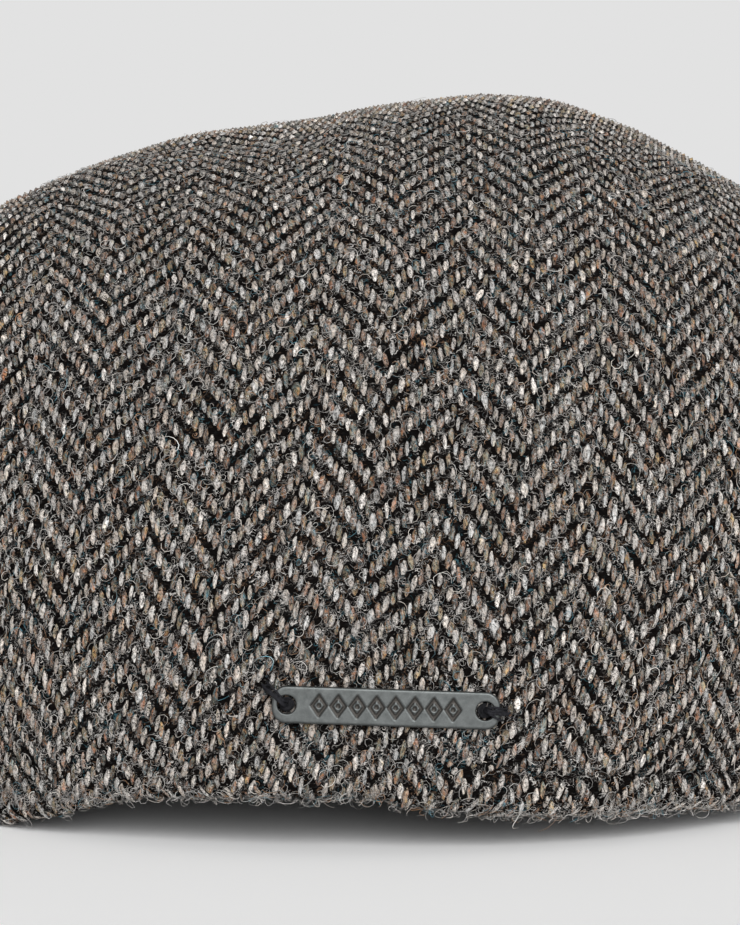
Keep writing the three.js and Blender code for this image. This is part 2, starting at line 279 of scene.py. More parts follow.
    def form_normal(self, p: Array, q: Array) -> Array:
        """Unit normals of the plain form, from differences taken just inside the disc's rim.

        Args:
            p: Places to the wearer's left.
            q: Places to the back.

        Returns:
            The normals, on the last axis.
        """
        step = 0.003
        shrink = np.minimum(1.0, (1.0 - 1.4 * step) / np.maximum(np.hypot(p, q), step))
        p, q = p * shrink, q * shrink
        across_p = self.form(p + step, q) - self.form(p - step, q)
        across_q = self.form(p, q + step) - self.form(p, q - step)
        return unit(np.cross(across_p, across_q))

    def folds_at(self, points: Array) -> Array:
        """The sum of the soft folds: each a bell along its run times a bell aside from it.

        Args:
            points: Points of the cap.

        Returns:
            Millimetres outwards for each point.
        """
        total = np.zeros(points.shape[:-1])
        for fold in self.folds:
            offset = points - np.array(fold.place, float)
            cosine, sine = math.cos(math.radians(fold.along)), math.sin(math.radians(fold.along))
            run = offset[..., 0] * cosine + offset[..., 1] * sine
            aside = np.hypot(offset[..., 0] * sine - offset[..., 1] * cosine, offset[..., 2])
            total += fold.out * np.exp(-(run / fold.half_length) ** 2 - (aside / fold.half_width) ** 2)
        return total

    def outer(self, p: Array, q: Array) -> Array:
        """The cloth's outer face: the form with its folds, drawn flat behind the bar.

        Args:
            p: Places to the wearer's left.
            q: Places to the back.

        Returns:
            The points, on the last axis.
        """
        points = self.form(p, q)
        soft = smoothstep(1.0 - np.hypot(p, q), 0.0, 0.1)
        points = points + self.form_normal(p, q) * (self.folds_at(points) * soft)[..., None]
        near = np.exp(-((points[..., 0] - self.bar_x) / self.bar_half_length) ** 6
                      - ((points[..., 2] - self.bar_z) / self.bar_half_height) ** 4)
        drawn = points[..., 1] + (self.bar_plane - points[..., 1]) * near
        points[..., 1] = np.where(points[..., 1] > 0, drawn, points[..., 1])
        return points


@dataclass(frozen=True)
class CuttingLines:
    """Where the crown's cloth is cut and sewn, drawn in the flat disc and carried to its face."""

    crown: Crown = Crown()
    back_azimuth: float = 49.0
    front_azimuth: float = 135.0
    waist: float = 0.66
    corner: float = 1.0
    half_gap: float = -0.0008
    nearly_straight: float = 0.01

    def seam(self, v: Array, aside: float) -> tuple[Array, Array]:
        """The seam from the back hem to the edge on the peak: two parabolas that meet in a waist.

        Args:
            v: The share of the way from back to front.
            aside: How far outwards the line is moved, in the disc.

        Returns:
            The line's p and q.
        """
        back, front = math.radians(self.back_azimuth), math.radians(self.front_azimuth)
        end = np.where(v < 0.5, math.sin(back), math.sin(front))
        p = self.waist + (end - self.waist) * (2 * v - 1) ** 2
        return p + aside, math.cos(back) + (math.cos(front) - math.cos(back)) * v

    def top_panel(self, u: Array, v: Array) -> Array:
        """Points of the top panel, whose rows are arcs that bow as the hem does at both ends.

        Args:
            u: From -1 at the wearer's right seam to 1 at the left one.
            v: From 0 at the back hem to 1 at the edge on the peak.

        Returns:
            The points, on the last axis.
        """
        seam_p, seam_q = self.seam(v, -self.half_gap)
        back = math.radians(self.back_azimuth)
        turn = back + (-math.radians(180 - self.front_azimuth) - back) * v
        bow = np.where(np.abs(turn) < self.nearly_straight, self.nearly_straight, turn)
        p = seam_p * np.sin(bow * u) / np.sin(bow)
        q = seam_q + seam_p * (np.cos(bow * u) - np.cos(bow)) / np.sin(bow)
        on_rim = (v == 0) | (v == 1)
        scale = np.where(on_rim, 1 / np.maximum(np.hypot(p, q), 1e-9), 1.0)
        return self.crown.outer(p * scale, q * scale)

    def side_panel(self, v: Array, w: Array, side: int) -> Array:
        """Points of a side panel, which run straight across the disc from its seam to its hem.

        Args:
            v: From 0 at the back to 1 at the front.
            w: From 0 at the seam to 1 at the hem.
            side: 1 for the wearer's left, -1 for the right.

        Returns:
            The points, on the last axis.
        """
        seam_p, seam_q = self.seam(v, self.half_gap)
        back, front = self.back_azimuth + self.corner, self.front_azimuth - self.corner
        azimuth = np.radians(back + (front - back) * v)
        return self.crown.outer(side * (seam_p + (np.sin(azimuth) - seam_p) * w),
                                seam_q + (np.cos(azimuth) - seam_q) * w)


# ------------------ meshes
@dataclass
class MeshParts:
    """A mesh in the making: its points and faces, what they carry, and its source of chance."""

    rng: Chance | None = None
    points: list[Array] = field(default_factory=list)
    corners: list[Array] = field(default_factory=list)
    sizes: list[Array] = field(default_factory=list)
    maps: dict[str, list[Array]] = field(default_factory=dict)
    tints: list[Array] = field(default_factory=list)
    count: int = 0

    def add_points(self, points: Array, tints: Array | None = None) -> int:
        """Add points, with a colour for each if the mesh carries colours.

        Args:
            points: The points, with x, y and z on the last axis.
            tints: Their colours, with three parts or four.

        Returns:
            The index of the first of them.
        """
        first = self.count
        self.points.append(points.reshape(-1, 3))
        if tints is not None:
            flat = tints.reshape(-1, tints.shape[-1])
            whole = np.ones((len(flat), 4 - flat.shape[-1]))
            self.tints.append(np.concatenate((flat, whole), 1))
        self.count += len(self.points[-1])
        return first

    def add_faces(self, faces: Array, maps: dict[str, Array] | None = None) -> None:
        """Add faces that all have the same number of corners.

        Args:
            faces: Indices of the mesh's points, m by 3 or m by 4.
            maps: Named maps with two numbers for each corner, in the faces' order.
        """
        self.corners.append(faces.ravel())
        self.sizes.append(np.full(len(faces), faces.shape[1]))
        for name, values in (maps or {}).items():
            self.maps.setdefault(name, []).append(values.reshape(-1, 2))

    def triangles(self) -> int:
        """How many triangles the faces make."""
        return int(sum((sizes - 2).sum() for sizes in self.sizes))

    def make(self, name: str, origin: Array) -> bpy.types.Object:
        """Turn the blocks into one smooth object at the model's origin.

        Args:
            name: The object's name.
            origin: Where the cap's own origin lies in the model's frame, in millimetres.

        Returns:
            The object, linked to the scene.
        """
        points = (np.concatenate(self.points) + origin) * METRES
        corners, sizes = np.concatenate(self.corners), np.concatenate(self.sizes)
        mesh = bpy.data.meshes.new(name)
        mesh.vertices.add(len(points))
        mesh.vertices.foreach_set("co", points.astype(np.float32).ravel())
        mesh.loops.add(len(corners))
        mesh.loops.foreach_set("vertex_index", corners.astype(np.int32))
        mesh.polygons.add(len(sizes))
        mesh.polygons.foreach_set("loop_start", (np.cumsum(sizes) - sizes).astype(np.int32))
        mesh.polygons.foreach_set("use_smooth", np.full(len(sizes), True))
        mesh.update(calc_edges=True)
        for label, blocks in self.maps.items():
            layer = mesh.uv_layers.new(name=label)
            layer.uv.foreach_set("vector", np.concatenate(blocks).astype(np.float32).ravel())
        if self.tints:
            rgba = np.concatenate(self.tints)
            layer = mesh.color_attributes.new(name="tint", type="FLOAT_COLOR", domain="POINT")
            layer.data.foreach_set("color", rgba.astype(np.float32).ravel())
        mesh.validate()
        piece = bpy.data.objects.new(name, mesh)
        bpy.context.scene.collection.objects.link(piece)
        return piece


def grid_faces(rows: int, columns: int, offset: int = 0, flip: bool = False) -> Array:
    """Quads of a grid of points that is stored row by row.

    Args:
        rows: Points along the first axis.
        columns: Points along the second axis.
        offset: The index of the grid's first point.
        flip: Turn the faces over.

    Returns:
        The quads, counter-clockwise for columns that run right and rows that run up.
    """
    row, column = pairs(np.arange(rows - 1), np.arange(columns - 1))
    first = row * columns + column + offset
    quads = stacked(first, first + 1, first + columns + 1, first + columns)
    return quads[:, ::-1] if flip else quads


def strip_faces(one: Array, other: Array) -> Array:
    """Quads between two lines of point indices of the same length."""
    return stacked(one[:-1], one[1:], other[1:], other[:-1])


def grid_normals(points: Array) -> Array:
    """Unit normals of a grid of points, upwards for columns that run right and rows up."""
    return unit(np.cross(np.gradient(points, axis=1), np.gradient(points, axis=0)))


def tube_quads(rings: int, sides: int) -> tuple[Array, Array, Array]:
    """The quads between the rings of a closed tube.

    Args:
        rings: How many rings the tube has.
        sides: How many points a ring has.

    Returns:
        The quads, the share of the way round at each corner, and each corner's ring.
    """
    ring, side = pairs(np.arange(rings - 1), np.arange(sides))
    rings_of = stacked(ring, ring, ring + 1, ring + 1)
    sides_of = stacked(side, side + 1, side + 1, side)
    return rings_of * sides + sides_of % sides, sides_of / sides, rings_of


def add_copies(parts: MeshParts, points: Array, tints: Array, pattern: list[tuple[Array, Array]],
               stretch: Pair, border: float) -> None:
    """Add many copies of one small closed shape, each with its own place in two maps.

    The map of the strands starts at a random place for every copy, so that no two look alike. In
    the map for baking the copies lie in the cells of a square.

    Args:
        parts: The mesh.
        points: The points of every copy, n by k by 3.
        tints: Their colours, n by k by 3 or 4.
        pattern: Blocks of one copy's faces, each with its corners' places in a unit square.
        stretch: The size of a copy in the map of the strands.
        border: The share of a cell that stays free on each side.
    """
    count, size = points.shape[:2]
    start = parts.add_points(points, tints) + np.arange(count)[:, None, None] * size
    offset = parts.rng.random((count, 1, 1, 2)) * 50.0
    cells = math.ceil(math.sqrt(count))
    cell = np.stack(np.divmod(np.arange(count), cells), -1)[:, None, None]
    for faces, corner in pattern:
        parts.add_faces((start + faces).reshape(-1, faces.shape[-1]),
                        {"strand": corner * stretch + offset,
                         "OFBake": (cell + border + (1 - 2 * border) * corner) / cells})


def add_tubes(parts: MeshParts, path: Array, radius: Array, guide: Array, sides: int, tints: Array,
              ply: float = 0.0, twist: float = 0.0) -> None:
    """Add closed tubes along paths: rings of points round each path, with flat ends.

    A ring's radius is the given one times 1 plus the ply times the cosine of twice the angle from
    the twist, so that a tube with ply looks like two yarns twisted together.

    Args:
        parts: The mesh.
        path: The middles of the rings, n by k by 3.
        radius: Their radii, n by k.
        guide: A direction for each path that it never follows, n by 3.
        sides: Points of a ring.
        tints: The colours, n by k by 3.
        ply: How deep the groove between two twisted yarns is, as a share.
        twist: How far the yarns turn from ring to ring, in radians.
    """
    count, stations = path.shape[:2]
    ahead = unit(np.gradient(path, axis=1))
    side = unit(np.cross(ahead, guide[:, None]))
    above = np.cross(side, ahead)
    angle = 2 * np.pi * np.arange(sides) / sides
    turned = angle - twist * np.arange(stations)[:, None]
    ring = radius[..., None] * (1 + ply * np.cos(2 * turned))
    points = (path[:, :, None] + (ring * np.cos(angle))[..., None] * side[:, :, None]
              + (ring * np.sin(angle))[..., None] * above[:, :, None])
    quads, around, station = tube_quads(stations, sides)
    flat = stacked(around, station / (stations - 1)) * 0.84 + (0.02, 0.08)
    fan = np.arange(1, sides - 1)
    ends = joined(stacked(fan * 0, fan + 1, fan), stacked(fan * 0, fan, fan + 1) + (stations - 1) * sides)
    rim = stacked(np.cos(angle), np.sin(angle)) * 0.03 + 0.93
    end_flat = np.stack([rim[face % sides] - (0, 0.5 * (face[0] >= sides)) for face in ends])
    add_copies(parts, points.reshape(count, -1, 3), np.repeat(tints, sides, axis=1),
               [(quads, flat), (ends, end_flat)], (3.0, 3.0), 0.08)


# ------------------ cloth
@dataclass(frozen=True)
class Grain:
    """How the threads lie in the steamed cloth, as smooth maps of a panel's lengths.

    The thread counts are straight multiples of the lengths across and along, plus a polynomial in
    the lengths that fades to a constant away from the back, where the cloth was pulled on a block.
    """

    end_pitch: float = 0.85
    pick_pitch: float = 0.90
    across_unit: float = 50.0
    along_unit: float = 60.0
    across_limit: float = 62.0
    along_limit: float = 118.0
    softness: float = 5.0
    first_reversal: float = 3.99
    end_terms: tuple[float, ...] = (60.67, -16.39, 9.07, -0.42, -2.16, 0.71, 2.28, -1.0)
    pick_terms: tuple[float, ...] = (68.69, -2.25, -1.06, -2.17, 1.97, -1.56, 2.38, -2.2)

    def limited(self, length: Array, limit: float) -> Array:
        """A length that stops growing softly near a limit, by the logarithm of 1 plus a power."""
        short = self.softness * np.logaddexp(0.0, (limit - np.abs(length)) / self.softness)
        return np.sign(length) * np.maximum(limit - short, 0.0)

    def counts(self, across: Array, along: Array) -> tuple[Array, Array]:
        """The end's and the pick's number at places of the pulled back panel.

        Args:
            across: Length from the middle of the panel, to the wearer's right.
            along: Length from the back hem.

        Returns:
            The numbers of the warp end and of the weft pick, as fractions.
        """
        a = self.limited(across, self.across_limit) / self.across_unit
        b = np.where(along > 0, self.limited(along, self.along_limit), along) / self.along_unit
        end_bases = (a, b, b ** 2, b ** 3, a * b, a * b ** 2, a ** 2 * b, a ** 3)
        pick_bases = (b, b ** 2, a, a ** 2, a * b, a ** 2 * b, a ** 3, a * b ** 2)
        ends = sum(term * base for term, base in zip(self.end_terms, end_bases))
        picks = sum(term * base for term, base in zip(self.pick_terms, pick_bases))
        ends += across / self.end_pitch - a * self.across_unit / self.end_pitch
        picks += along / self.pick_pitch - b * self.along_unit / self.pick_pitch
        return ends - self.first_reversal, picks

    def plain(self, across: Array, along: Array) -> tuple[Array, Array]:
        """The numbers of end and pick where the cloth wasn't pulled: lengths over pitches."""
        return across / self.end_pitch, along / self.pick_pitch


@dataclass(frozen=True)
class Relief:
    """What makes the plain form of the cloth lively: seams, the sewn hem and slight waves."""

    stitch_line: float = 6.0
    stitch_depth: float = 1.0
    stitch_width: float = 0.7
    slack: float = 0.25
    pulled: Pair = (-5.0, 22.0)
    seam_depth: float = 0.8
    seam_width: float = 1.1
    wave_height: float = 0.07
    wave_length: Pair = (9.0, 24.0)
    waves: int = 7
    calm: Pair = (1.0, 6.0)
    seed: int = 11

    def wave(self, points: Array, from_hem: Array) -> Array:
        """Slight unevenness away from the hem: a sum of sines along random directions.

        Args:
            points: The cloth's points.
            from_hem: Length from the hem's edge.

        Returns:
            Millimetres outwards for each point.
        """
        rng = np.random.default_rng(self.seed)
        total = np.zeros(points.shape[:-1])
        for _ in range(self.waves):
            direction = unit(rng.normal(size=3)) * 2 * np.pi / rng.uniform(*self.wave_length)
            total += np.sin(points @ direction + rng.uniform(0, 2 * np.pi))
        return total * self.wave_height * smoothstep(from_hem, *self.calm)

    def out(self, points: Array, from_hem: Array, from_seam: Array, across: Array | float) -> Array:
        """How far the cloth stands out of the plain form.

        The stitch line and the seams are bell-shaped grooves. The stitch line is pulled deeper on
        the wearer's right side.

        Args:
            points: The cloth's points.
            from_hem: Length from the hem's edge.
            from_seam: Length from the nearest seam.
            across: Length from the middle of the back, to the wearer's right.

        Returns:
            Millimetres outwards for each point.
        """
        pull = self.slack + (1 - self.slack) * smoothstep(across, *self.pulled)
        stitched = self.stitch_depth * pull * np.exp(
            -((from_hem - self.stitch_line) / self.stitch_width) ** 2)
        seam = self.seam_depth * np.exp(-(from_seam / self.seam_width) ** 2)
        return self.wave(points, from_hem) - stitched - seam


@dataclass
class Spots:
    """Places on the cloth, each with a step across, a step along and the cloth's unit normal."""

    place: Array
    across: Array
    along: Array
    normal: Array

    def only(self, kept: Array) -> Spots:
        """The spots that are kept."""
        return Spots(self.place[kept], self.across[kept], self.along[kept], self.normal[kept])

    def points(self, x: Array, y: Array, z: Array) -> Array:
        """Some points for each spot, by their shares of its steps and their heights."""
        return (self.place[:, None] + x[..., None] * self.across[:, None]
                + y[..., None] * self.along[:, None] + z[..., None] * self.normal[:, None])


@dataclass
class Cloth:
    """A panel of cloth as a grid: rows go away from the hem, columns run along it.

    The rows below shell_row turn under the hem and carry threads only. The shell has an outer face
    from there on and an inner face, and both meet under the hem.
    """

    points: Array
    inner: Array
    ends: Array
    picks: Array
    from_hem: Array
    shell_row: int
    outward: int
    widest_stride: int = 6
    fewest_starts: int = 12
    newton_steps: int = 14
    longest_leap: float = 5.0
    close: float = 0.05

    def sample(self, values: Array, row: Array, column: Array) -> tuple[Array, Array, Array]:
        """Read a grid of values between its points.

        Args:
            values: The grid, with any number of components on its last axis.
            row: Rows as fractions.
            column: Columns as fractions.

        Returns:
            The bilinear values, and how they change along the rows' and the columns' numbers.
        """
        r = np.clip(np.floor(row), 0, values.shape[0] - 2).astype(int)
        c = np.clip(np.floor(column), 0, values.shape[1] - 2).astype(int)
        fr, fc = row - r, column - c
        if values.ndim == 3:
            fr, fc = fr[:, None], fc[:, None]
        v00, v01, v10, v11 = values[r, c], values[r, c + 1], values[r + 1, c], values[r + 1, c + 1]
        low, high = v00 + (v01 - v00) * fc, v10 + (v11 - v10) * fc
        along_columns = (v01 - v00) * (1 - fr) + (v11 - v10) * fr
        return low + (high - low) * fr, high - low, along_columns

    def locate(self, ends: Array, picks: Array) -> tuple[Array, Array, Array]:
        """Find where given threads cross, by Newton's method from the nearest of a coarse grid.

        Args:
            ends: The warp ends' numbers.
            picks: The weft picks' numbers.

        Returns:
            Rows and columns as fractions, and which of the crossings lie on the panel.
        """
        rows, columns = self.ends.shape
        stride = min(self.widest_stride, rows // self.fewest_starts)
        start_r, start_c = pairs(np.arange(0, rows, stride), np.arange(0, columns, stride))
        known = stacked(self.ends[start_r, start_c], self.picks[start_r, start_c])
        wanted = stacked(ends, picks)
        apart = (wanted ** 2).sum(1)[:, None] - 2 * wanted @ known.T + (known ** 2).sum(1)
        nearest = apart.argmin(1)
        row, column = start_r[nearest].astype(float), start_c[nearest].astype(float)
        leap, least = self.longest_leap, 1e-9
        for _ in range(self.newton_steps):
            end, end_r, end_c = self.sample(self.ends, row, column)
            pick, pick_r, pick_c = self.sample(self.picks, row, column)
            miss_e, miss_p = ends - end, picks - pick
            area = end_r * pick_c - end_c * pick_r
            area = np.where(np.abs(area) < least, least, area)
            row = row + np.clip((miss_e * pick_c - end_c * miss_p) / area, -leap, leap)
            column = column + np.clip((end_r * miss_p - miss_e * pick_r) / area, -leap, leap)
            row, column = np.clip(row, -2, rows + 1), np.clip(column, -2, columns + 1)
        found = (np.abs(miss_e) < self.close) & (np.abs(miss_p) < self.close)
        inside = (row > 0.2) & (row < rows - 1.05) & (column > 0.05) & (column < columns - 1.05)
        return row, column, found & inside

    def spots(self, row: Array, column: Array) -> Spots:
        """The cloth's places and directions where threads cross.

        Args:
            row: Rows as fractions.
            column: Columns as fractions.

        Returns:
            The spots, with steps from end to end and from pick to pick that are turned to be
            right-handed with the normal.
        """
        place, by_row, by_column = self.sample(self.points, row, column)
        _, end_r, end_c = self.sample(self.ends, row, column)
        _, pick_r, pick_c = self.sample(self.picks, row, column)
        area = (end_r * pick_c - end_c * pick_r)[:, None]
        across = (by_row * pick_c[:, None] - by_column * pick_r[:, None]) / area
        along = (by_column * end_r[:, None] - by_row * end_c[:, None]) / area
        normal = unit(np.cross(by_column, by_row)) * self.outward
        hand = np.sign((np.cross(across, along) * normal).sum(-1, keepdims=True))
        return Spots(place, across * hand, along, normal)

    def scatter(self, count: int, rng: Chance, keep: Array) -> tuple[Array, Array]:
        """Random places, evenly spread over the cells that are kept.

        Args:
            count: How many.
            rng: The source of chance.
            keep: A weight for each cell of the grid.

        Returns:
            Rows and columns as fractions.
        """
        up = np.diff(self.points, axis=0)[:, :-1]
        right = np.diff(self.points, axis=1)[:-1]
        area = np.linalg.norm(np.cross(up, right), axis=-1) * keep
        total = np.cumsum(area.ravel())
        cell = np.searchsorted(total, rng.random(count) * total[-1])
        row, column = np.unravel_index(np.minimum(cell, area.size - 1), area.shape)
        return row + rng.random(count), column + rng.random(count)

    def shell(self) -> MeshParts:
        """The cloth as a closed wall: both faces, joined along all four edges.

        Returns:
            The mesh, with a map of the thread counts.
        """
        outer = self.points[self.shell_row:]
        rows, columns = outer.shape[:2]
        half = rows * columns
        flip = self.outward < 0
        first, second = np.arange(columns), (rows - 1) * columns + np.arange(columns)
        left = np.arange(rows) * columns
        right = left + columns - 1
        edges = [(first + half, first), (second, second + half), (left, left + half),
                 (right + half, right)]
        faces = [grid_faces(rows, columns, 0, flip), grid_faces(rows, columns, half, not flip)]
        faces += [strip_faces(*(pair[::-1] if flip else pair)) for pair in edges]
        faces = np.concatenate(faces)
        threads = stacked(self.ends[self.shell_row:], self.picks[self.shell_row:])
        threads = np.concatenate((threads.reshape(-1, 2),) * 2)
        parts = MeshParts()
        parts.add_points(joined(outer.reshape(-1, 3), self.inner.reshape(-1, 3)))
        parts.add_faces(faces, {"threads": threads[faces]})
        return parts


@dataclass(frozen=True)
class PanelMaker:
    """Lays out the cap's four pieces of cloth, each with its turned hem or rim."""

    lines: CuttingLines = CuttingLines()
    grain: Grain = Grain()
    relief: Relief = Relief()
    hem_radius: float = 1.4
    rim_radius: float = 1.5
    wall: float = 2.0
    turn_ends: Pair = (5.0, 9.0)
    turn_angles: tuple[float, ...] = (-50.0, -30.0, -10.0, 10.0, 30.0, 50.0, 70.0)
    shell_angle: float = 0.0
    top_columns: int = 91
    side_columns: int = 121
    peak_columns: int = 91
    top_samples: int = 1601
    fine_step: float = 1.6
    coarse_step: float = 2.6
    side_crowding: float = 1.2
    side_arc: float = 1.12
    narrow_turn: float = 0.35
    tucked_end: float = 14.0
    end_rows: int = 15
    fine_until: float = 118.0
    peak_tuck: float = 4.0
    peak_corner: float = 59.0
    peak_least: float = 0.5

    def turned(self, face: Array, from_hem: Array, across: Array, radius: Array, wall: float,
               outward: int, counts: tuple[Array, Array] | None = None,
               pulled: bool = False) -> Cloth:
        """Turn a face under at its first row and give it a wall.

        The turn is an arc round a centre that lies one radius inside the first row: the point at
        an angle is the centre plus the outward direction times its sine, less the upward
        direction times its cosine.

        Args:
            face: The outer face's points, whose first row lies one radius above the hem.
            from_hem: Their lengths from the hem.
            across: Their lengths from the middle column.
            radius: The turn's radius for each column.
            wall: The wall's thickness away from the hem.
            outward: 1 if columns, then rows, run counter-clockwise seen from outside, or -1.
            counts: The thread counts, where they don't follow from the lengths.
            pulled: Whether the cloth was pulled out of true, as the back panel was.

        Returns:
            The panel.
        """
        normal = grid_normals(face) * outward
        up = unit(face[1] - face[0])
        out = unit(normal[0] - up * (normal[0] * up).sum(-1, keepdims=True))
        reach = radius[:, None]
        centre = face[0] - out * reach
        angles = np.radians(np.array(self.turn_angles))[:, None, None]
        turn = centre + reach * (out * np.sin(angles) - up * np.cos(angles))
        turn_from_hem = radius * (1.0 - (np.pi / 2 - angles[..., 0]))
        lengths = joined(turn_from_hem, from_hem)
        sideways = joined(np.broadcast_to(across[0], turn_from_hem.shape), across)
        if counts is not None:
            below = (turn_from_hem - radius) / self.grain.pick_pitch
            ends = joined(np.broadcast_to(counts[0][0], below.shape), counts[0])
            picks = joined(counts[1][0] + below, counts[1])
        elif pulled:
            ends, picks = self.grain.counts(sideways, lengths)
        else:
            ends, picks = self.grain.plain(lengths, sideways)
        shell_row = sum(angle < self.shell_angle for angle in self.turn_angles)
        thick = wall + (2 * radius - wall) * (1 - smoothstep(from_hem, *self.turn_ends))
        inner_turn = centre - reach * (out * np.sin(angles[shell_row:]) + up * np.cos(angles[shell_row:]))
        inner = joined(inner_turn, face - normal * thick[..., None])
        return Cloth(joined(turn, face), inner, ends, picks, lengths, shell_row, outward)

    def lengths(self, face: Array, first: Array) -> tuple[Array, Array]:
        """Lengths on a grid of points: up the columns from a first value, and along the rows.

        Args:
            face: The points.
            first: The length at each column's first point.

        Returns:
            The lengths up the columns, and those along the rows from the middle column.
        """
        up = np.linalg.norm(np.diff(face, axis=0), axis=-1)
        up = joined(np.zeros((1, face.shape[1])), np.cumsum(up, 0)) + first
        right = np.linalg.norm(np.diff(face, axis=1), axis=-1)
        right = np.concatenate((np.zeros((len(face), 1)), np.cumsum(right, 1)), 1)
        return up, right - right[:, face.shape[1] // 2][:, None]

    def raised(self, face: Array, from_hem: Array, from_seam: Array, across: Array | float,
               outward: int) -> Array:
        """The face with its relief, moved along its own normals."""
        out = self.relief.out(face, from_hem, from_seam, across)
        return face + grid_normals(face) * outward * out[..., None]

    def steps(self, total: float) -> Array:
        """Row lengths from one radius up to a total: fine ones at the back and before the end.

        Args:
            total: The length of the middle column.

        Returns:
            The length at every row.
        """
        fine_until = min(self.fine_until, total)
        fine = np.arange(self.hem_radius, fine_until, self.fine_step)
        coarse = np.arange(fine_until, total - self.tucked_end - 1.0, self.coarse_step)
        last = np.linspace(total - self.tucked_end, total, self.end_rows)
        return joined(fine, coarse, last)

    def top_panel(self) -> Cloth:
        """The long panel from the back hem over the top to the peak.

        Its rows follow the middle column's length; near the hem each column's rows are stretched
        so that the first lies one radius above the hem everywhere.

        Returns:
            The panel.
        """
        u = np.linspace(1.0, -1.0, self.top_columns)
        dense = np.linspace(0.0, 1.0, self.top_samples)
        middle = self.lines.top_panel(np.zeros_like(dense), dense)
        spans = np.linalg.norm(np.diff(middle, axis=0), axis=-1)
        length = joined([0.0], np.cumsum(spans))
        v_middle = np.interp(self.steps(length[-1]), length, dense)
        probe = 0.004
        low, high = (self.lines.top_panel(u, np.full_like(u, v)) for v in (0.0, probe))
        first = self.hem_radius * probe / np.linalg.norm(high - low, axis=-1)
        share = (v_middle - v_middle[0]) / (1 - v_middle[0])
        v = first + share[:, None] * (1 - first)
        face = self.lines.top_panel(np.broadcast_to(u, v.shape), v)
        radius = np.full(len(u), self.hem_radius)
        from_hem, across = self.lengths(face, radius)
        from_seam = np.minimum(across - across[:, :1], across[:, -1:] - across)
        face = self.raised(face, from_hem, from_seam, across, 1)
        return self.turned(face, from_hem, across, radius, self.wall, 1, pulled=True)

    def side_panel(self, side: int) -> Cloth:
        """A D-shaped side panel. Its rows go from the hem in to the seam.

        Args:
            side: 1 for the wearer's left, -1 for the right.

        Returns:
            The panel, whose hem's stitch line is slack all along.
        """
        v = np.linspace(0.0, 1.0, self.side_columns)
        probe = 0.01
        seam, near, hem = (self.lines.side_panel(v, np.full_like(v, w), side)
                           for w in (0.0, 1 - probe, 1.0))
        width = np.linalg.norm(hem - seam, axis=-1)
        radius = np.minimum(self.hem_radius, self.narrow_turn * width)
        first = 1 - radius * probe / np.linalg.norm(near - hem, axis=-1)
        rows = int(width.max() * self.side_arc / self.coarse_step * self.side_crowding)
        w = first * np.linspace(1.0, 0.0, rows)[:, None]
        face = self.lines.side_panel(np.broadcast_to(v, w.shape), w, side)
        from_hem, along = self.lengths(face, radius)
        face = self.raised(face, from_hem, from_hem[-1:] - from_hem, -math.inf, -side)
        return self.turned(face, from_hem, along, radius, self.wall, -side)

    def peak(self) -> Cloth:
        """The peak, a crescent that falls from under the crown to its rim.

        Returns:
            The panel, whose rows go from the rim in under the crown.
        """
        crown = self.lines.crown
        azimuth = 180 + self.peak_corner * np.linspace(-1, 1, self.peak_columns)
        azimuth = np.where(azimuth > 180, azimuth - 360, azimuth)
        reach = np.maximum(crown.peak_reach(azimuth), self.peak_least)
        radius = np.minimum(self.rim_radius, self.narrow_turn * (reach + self.peak_tuck))
        rows = int((crown.peak_depth + self.peak_tuck) / self.coarse_step)
        share = np.linspace(0.0, 1.0, rows)[:, None]
        out = (reach - radius) * (1 - share) - self.peak_tuck * share
        place = np.broadcast_to(azimuth, out.shape)
        plan, height = crown.outside_hem(place, out), crown.peak_top(place, out)
        face = np.concatenate((plan, height[..., None]), -1)
        from_rim, across = self.lengths(face, radius)
        face[..., 2] += self.relief.wave(face, from_rim)
        counts = (-face[..., 0] / self.grain.end_pitch, face[..., 1] / self.grain.pick_pitch)
        return self.turned(face, from_rim, across, radius, 2 * self.rim_radius, -1, counts)


# ------------------ threads
class Thread(Enum):
    """The yarns of the tweed."""

    ECRU = "ecru"
    MIXED = "mixed"
    WEFT = "weft"


@dataclass(frozen=True)
class Palette:
    """The colours that a yarn is spun from, with the share of each.

    Any of them can fleck the yarn, but only the first few are its main colours.
    """

    colours: tuple[Colour, ...]
    shares: tuple[float, ...]
    spread: float
    mains: int
    flecked: float = 0.8

    def draw(self, count: int, flecks: int, rng: Chance) -> Array:
        """Colours for some stretches of yarn, each with flecks of the others.

        Args:
            count: How many stretches.
            flecks: How many places on each have a colour of their own.
            rng: The source of chance.

        Returns:
            The colours, count by flecks by 3.
        """
        colours, shares = np.array(self.colours), np.array(self.shares)
        first = shares[:self.mains] / shares[:self.mains].sum()
        main = colours[rng.choice(self.mains, count, p=first)][:, None]
        other = colours[rng.choice(len(colours), (count, flecks), p=shares / shares.sum())]
        mixed = main + (other - main) * (rng.random((count, flecks, 1)) ** 1.4) * self.flecked
        brightness = np.exp(rng.normal(0, self.spread, (count, 1, 1))
                            + rng.normal(0, self.spread * 0.6, (count, flecks, 1)))
        return np.clip(mixed * brightness, 0.002, 0.9)


